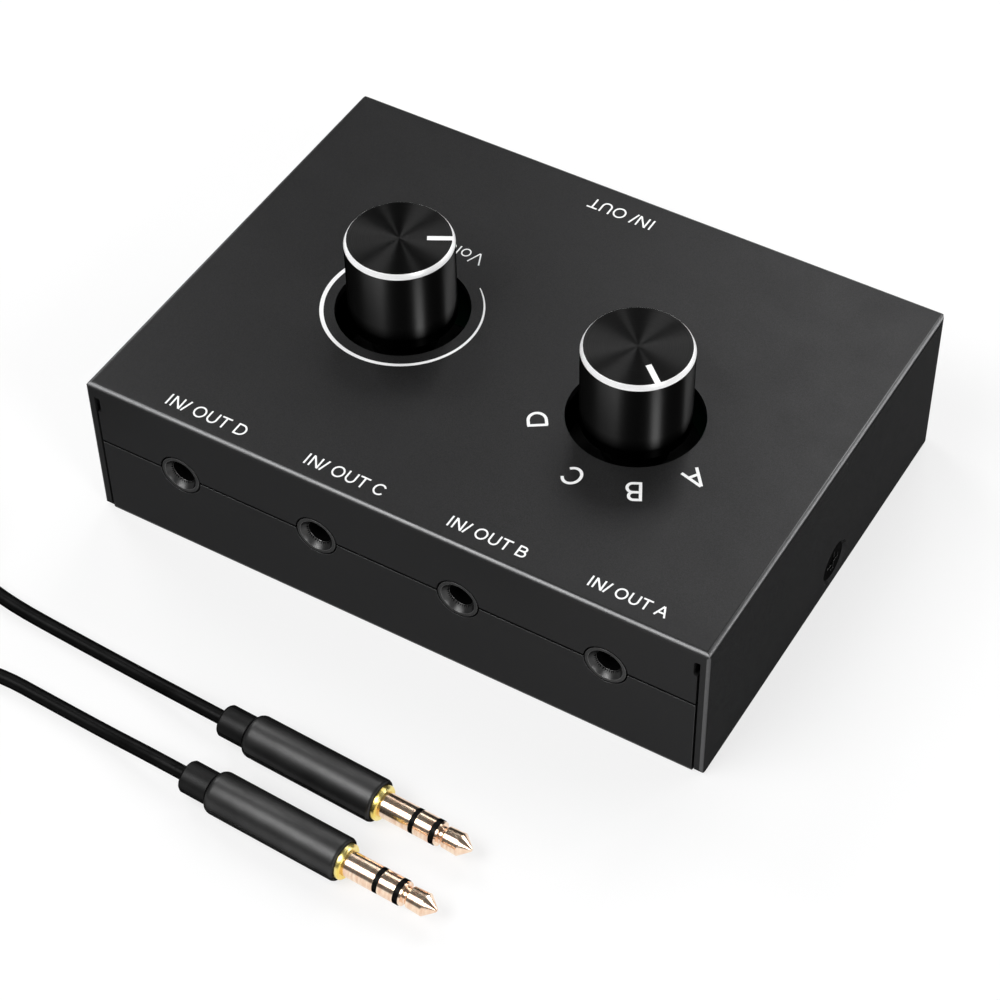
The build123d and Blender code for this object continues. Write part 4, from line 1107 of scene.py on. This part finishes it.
def coil_tie():
    """Soft strap round the coil's bundle."""
    inner = mean_turn - columns * cord_radius
    outer = mean_turn + columns * cord_radius + tail_step
    top = coil_bottom + layers * cord_diameter
    thickness, width = 0.45, 4.0
    half = thickness / 2
    off_floor, over_tail, slack = 0.02, 0.3, 0.1
    corners = [(inner - half, half + off_floor), (outer + half, half + off_floor),
               (outer + half, cord_diameter + over_tail),
               (outer - tail_step + half + slack, top + half), (inner - half, top + half)]
    line = [(coil_centre.x + out, coil_centre.y, up) for out, up in corners + corners[:1]]
    mesh = rounded_strap.run("coil_strap", chains("strap_line", [line]), {
        "Corner Radius": 0.8 * MM, "Strap Width": width * MM, "Strap Thickness": thickness * MM,
        "Finish": tie_weave()})
    piece = finish_mesh("coil_strap", mesh, "case", [])
    round_edges(piece, 0.08, 2)
    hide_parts("cord_tie")
    return piece


lead_cord = cord_piece()
lead_pieces + [coil_tie()]


# ---- Floor, lights and camera ----
def look_from(azimuth, elevation, roll=0.0):
    """Rotation of something that looks at the box from a direction, and that direction."""
    back = Vector((sin(azimuth) * cos(elevation), -cos(azimuth) * cos(elevation), sin(elevation)))
    right = Vector((cos(azimuth), sin(azimuth), 0))
    up = back.cross(right)
    turned_right = right * cos(roll) + up * sin(roll)
    turned_up = up * cos(roll) - right * sin(roll)
    return Matrix((turned_right, turned_up, back)).transposed(), back


def soft_light(name, azimuth, elevation, width, height, power, distance=1.1):
    """Soft light that looks at the box; its width and height are the angles it fills, in degrees."""
    rotation, back = look_from(radians(azimuth), radians(elevation))
    light = bpy.data.lights.new(name, "AREA")
    light.shape = "RECTANGLE"
    light.size = 2 * distance * sin(radians(width) / 2)
    light.size_y = 2 * distance * sin(radians(height) / 2)
    light.energy = power
    lamp = add_object(name, light)
    lamp.matrix_world = Matrix.Translation(back * distance) @ rotation.to_4x4()


def floor():
    """White sweep that keeps a soft shadow of the object."""
    half_size = 3.0
    glow = 0.7                     # share of plain white that the camera and mirrors see
    mesh = bpy.data.meshes.new("studio_floor")
    bm = start_edit()
    bmesh.ops.create_grid(bm, x_segments=1, y_segments=1, size=half_size)
    end_edit(bm, mesh)
    made = Shader("studio_floor", (0.9, 0.9, 0.9), 0.9, Specular_IOR_Level=0.0)
    rays = add_node(made.tree, "ShaderNodeLightPath")
    seen = rays["Is Camera Ray"]
    for kind in ("Is Glossy Ray", "Is Transmission Ray"):
        seen = made.add("ShaderNodeMath", seen, rays[kind], settings={"operation": "MAXIMUM"})
    share = made.add("ShaderNodeMath", seen, glow, settings={"operation": "MULTIPLY"})
    white = made.add("ShaderNodeEmission", Strength=1.0)
    mix = made.add("ShaderNodeMixShader", share, made.bsdf.outputs[0], white)
    made.tree.links.new(mix, made.tree.nodes["Material Output"].inputs["Surface"])
    mesh.materials.append(made.material)
    add_object("studio_floor", mesh)


def studio_world():
    """A grey sky, paler near the horizon than overhead."""
    horizon, overhead = 0.16, 0.1
    low_sky, high_sky = 0.12, 0.26
    world = bpy.data.worlds.new("studio")
    world.use_nodes = True
    tree = world.node_tree
    where = add_node(tree, "ShaderNodeTexCoord")["Generated"]
    height = add_node(tree, "ShaderNodeSeparateXYZ", where)["Z"]
    background = tree.nodes["Background"].inputs
    grey = add_ramp(tree, height, horizon, overhead, low_sky, high_sky)
    tree.links.new(grey, background["Color"])
    background["Strength"].default_value = 1.0
    bpy.context.scene.world = world


floor()
studio_world()
# each light: its azimuth and elevation, the angles it fills, and its power
soft_light("front_high", -36, 56, 40, 18, 4.8)
soft_light("front_low", -27, 45, 38, 20, 3.2)
soft_light("back_right", 131, 16, 24, 14, 2.8)
soft_light("back_edge", 150, 15, 12, 20, 2.4)
soft_light("right_front", 64, 28, 12, 24, 4.0)
soft_light("back_high", -173, 45, 24, 24, 3.8)
soft_light("back_left", -116, 42, 18, 20, 3.0)

camera_data = bpy.data.cameras.new("camera")
camera_data.lens = camera_lens
camera_data.sensor_width = 36.0
camera_data.clip_start = 0.01
camera = add_object("camera", camera_data)
turn, _ = look_from(camera_azimuth, camera_elevation, camera_roll)
camera.matrix_world = Matrix.Translation(camera_place) @ turn.to_4x4()
bpy.context.scene.camera = camera
bpy.context.scene.view_settings.view_transform = "Standard"

bpy.context.view_layer.update()
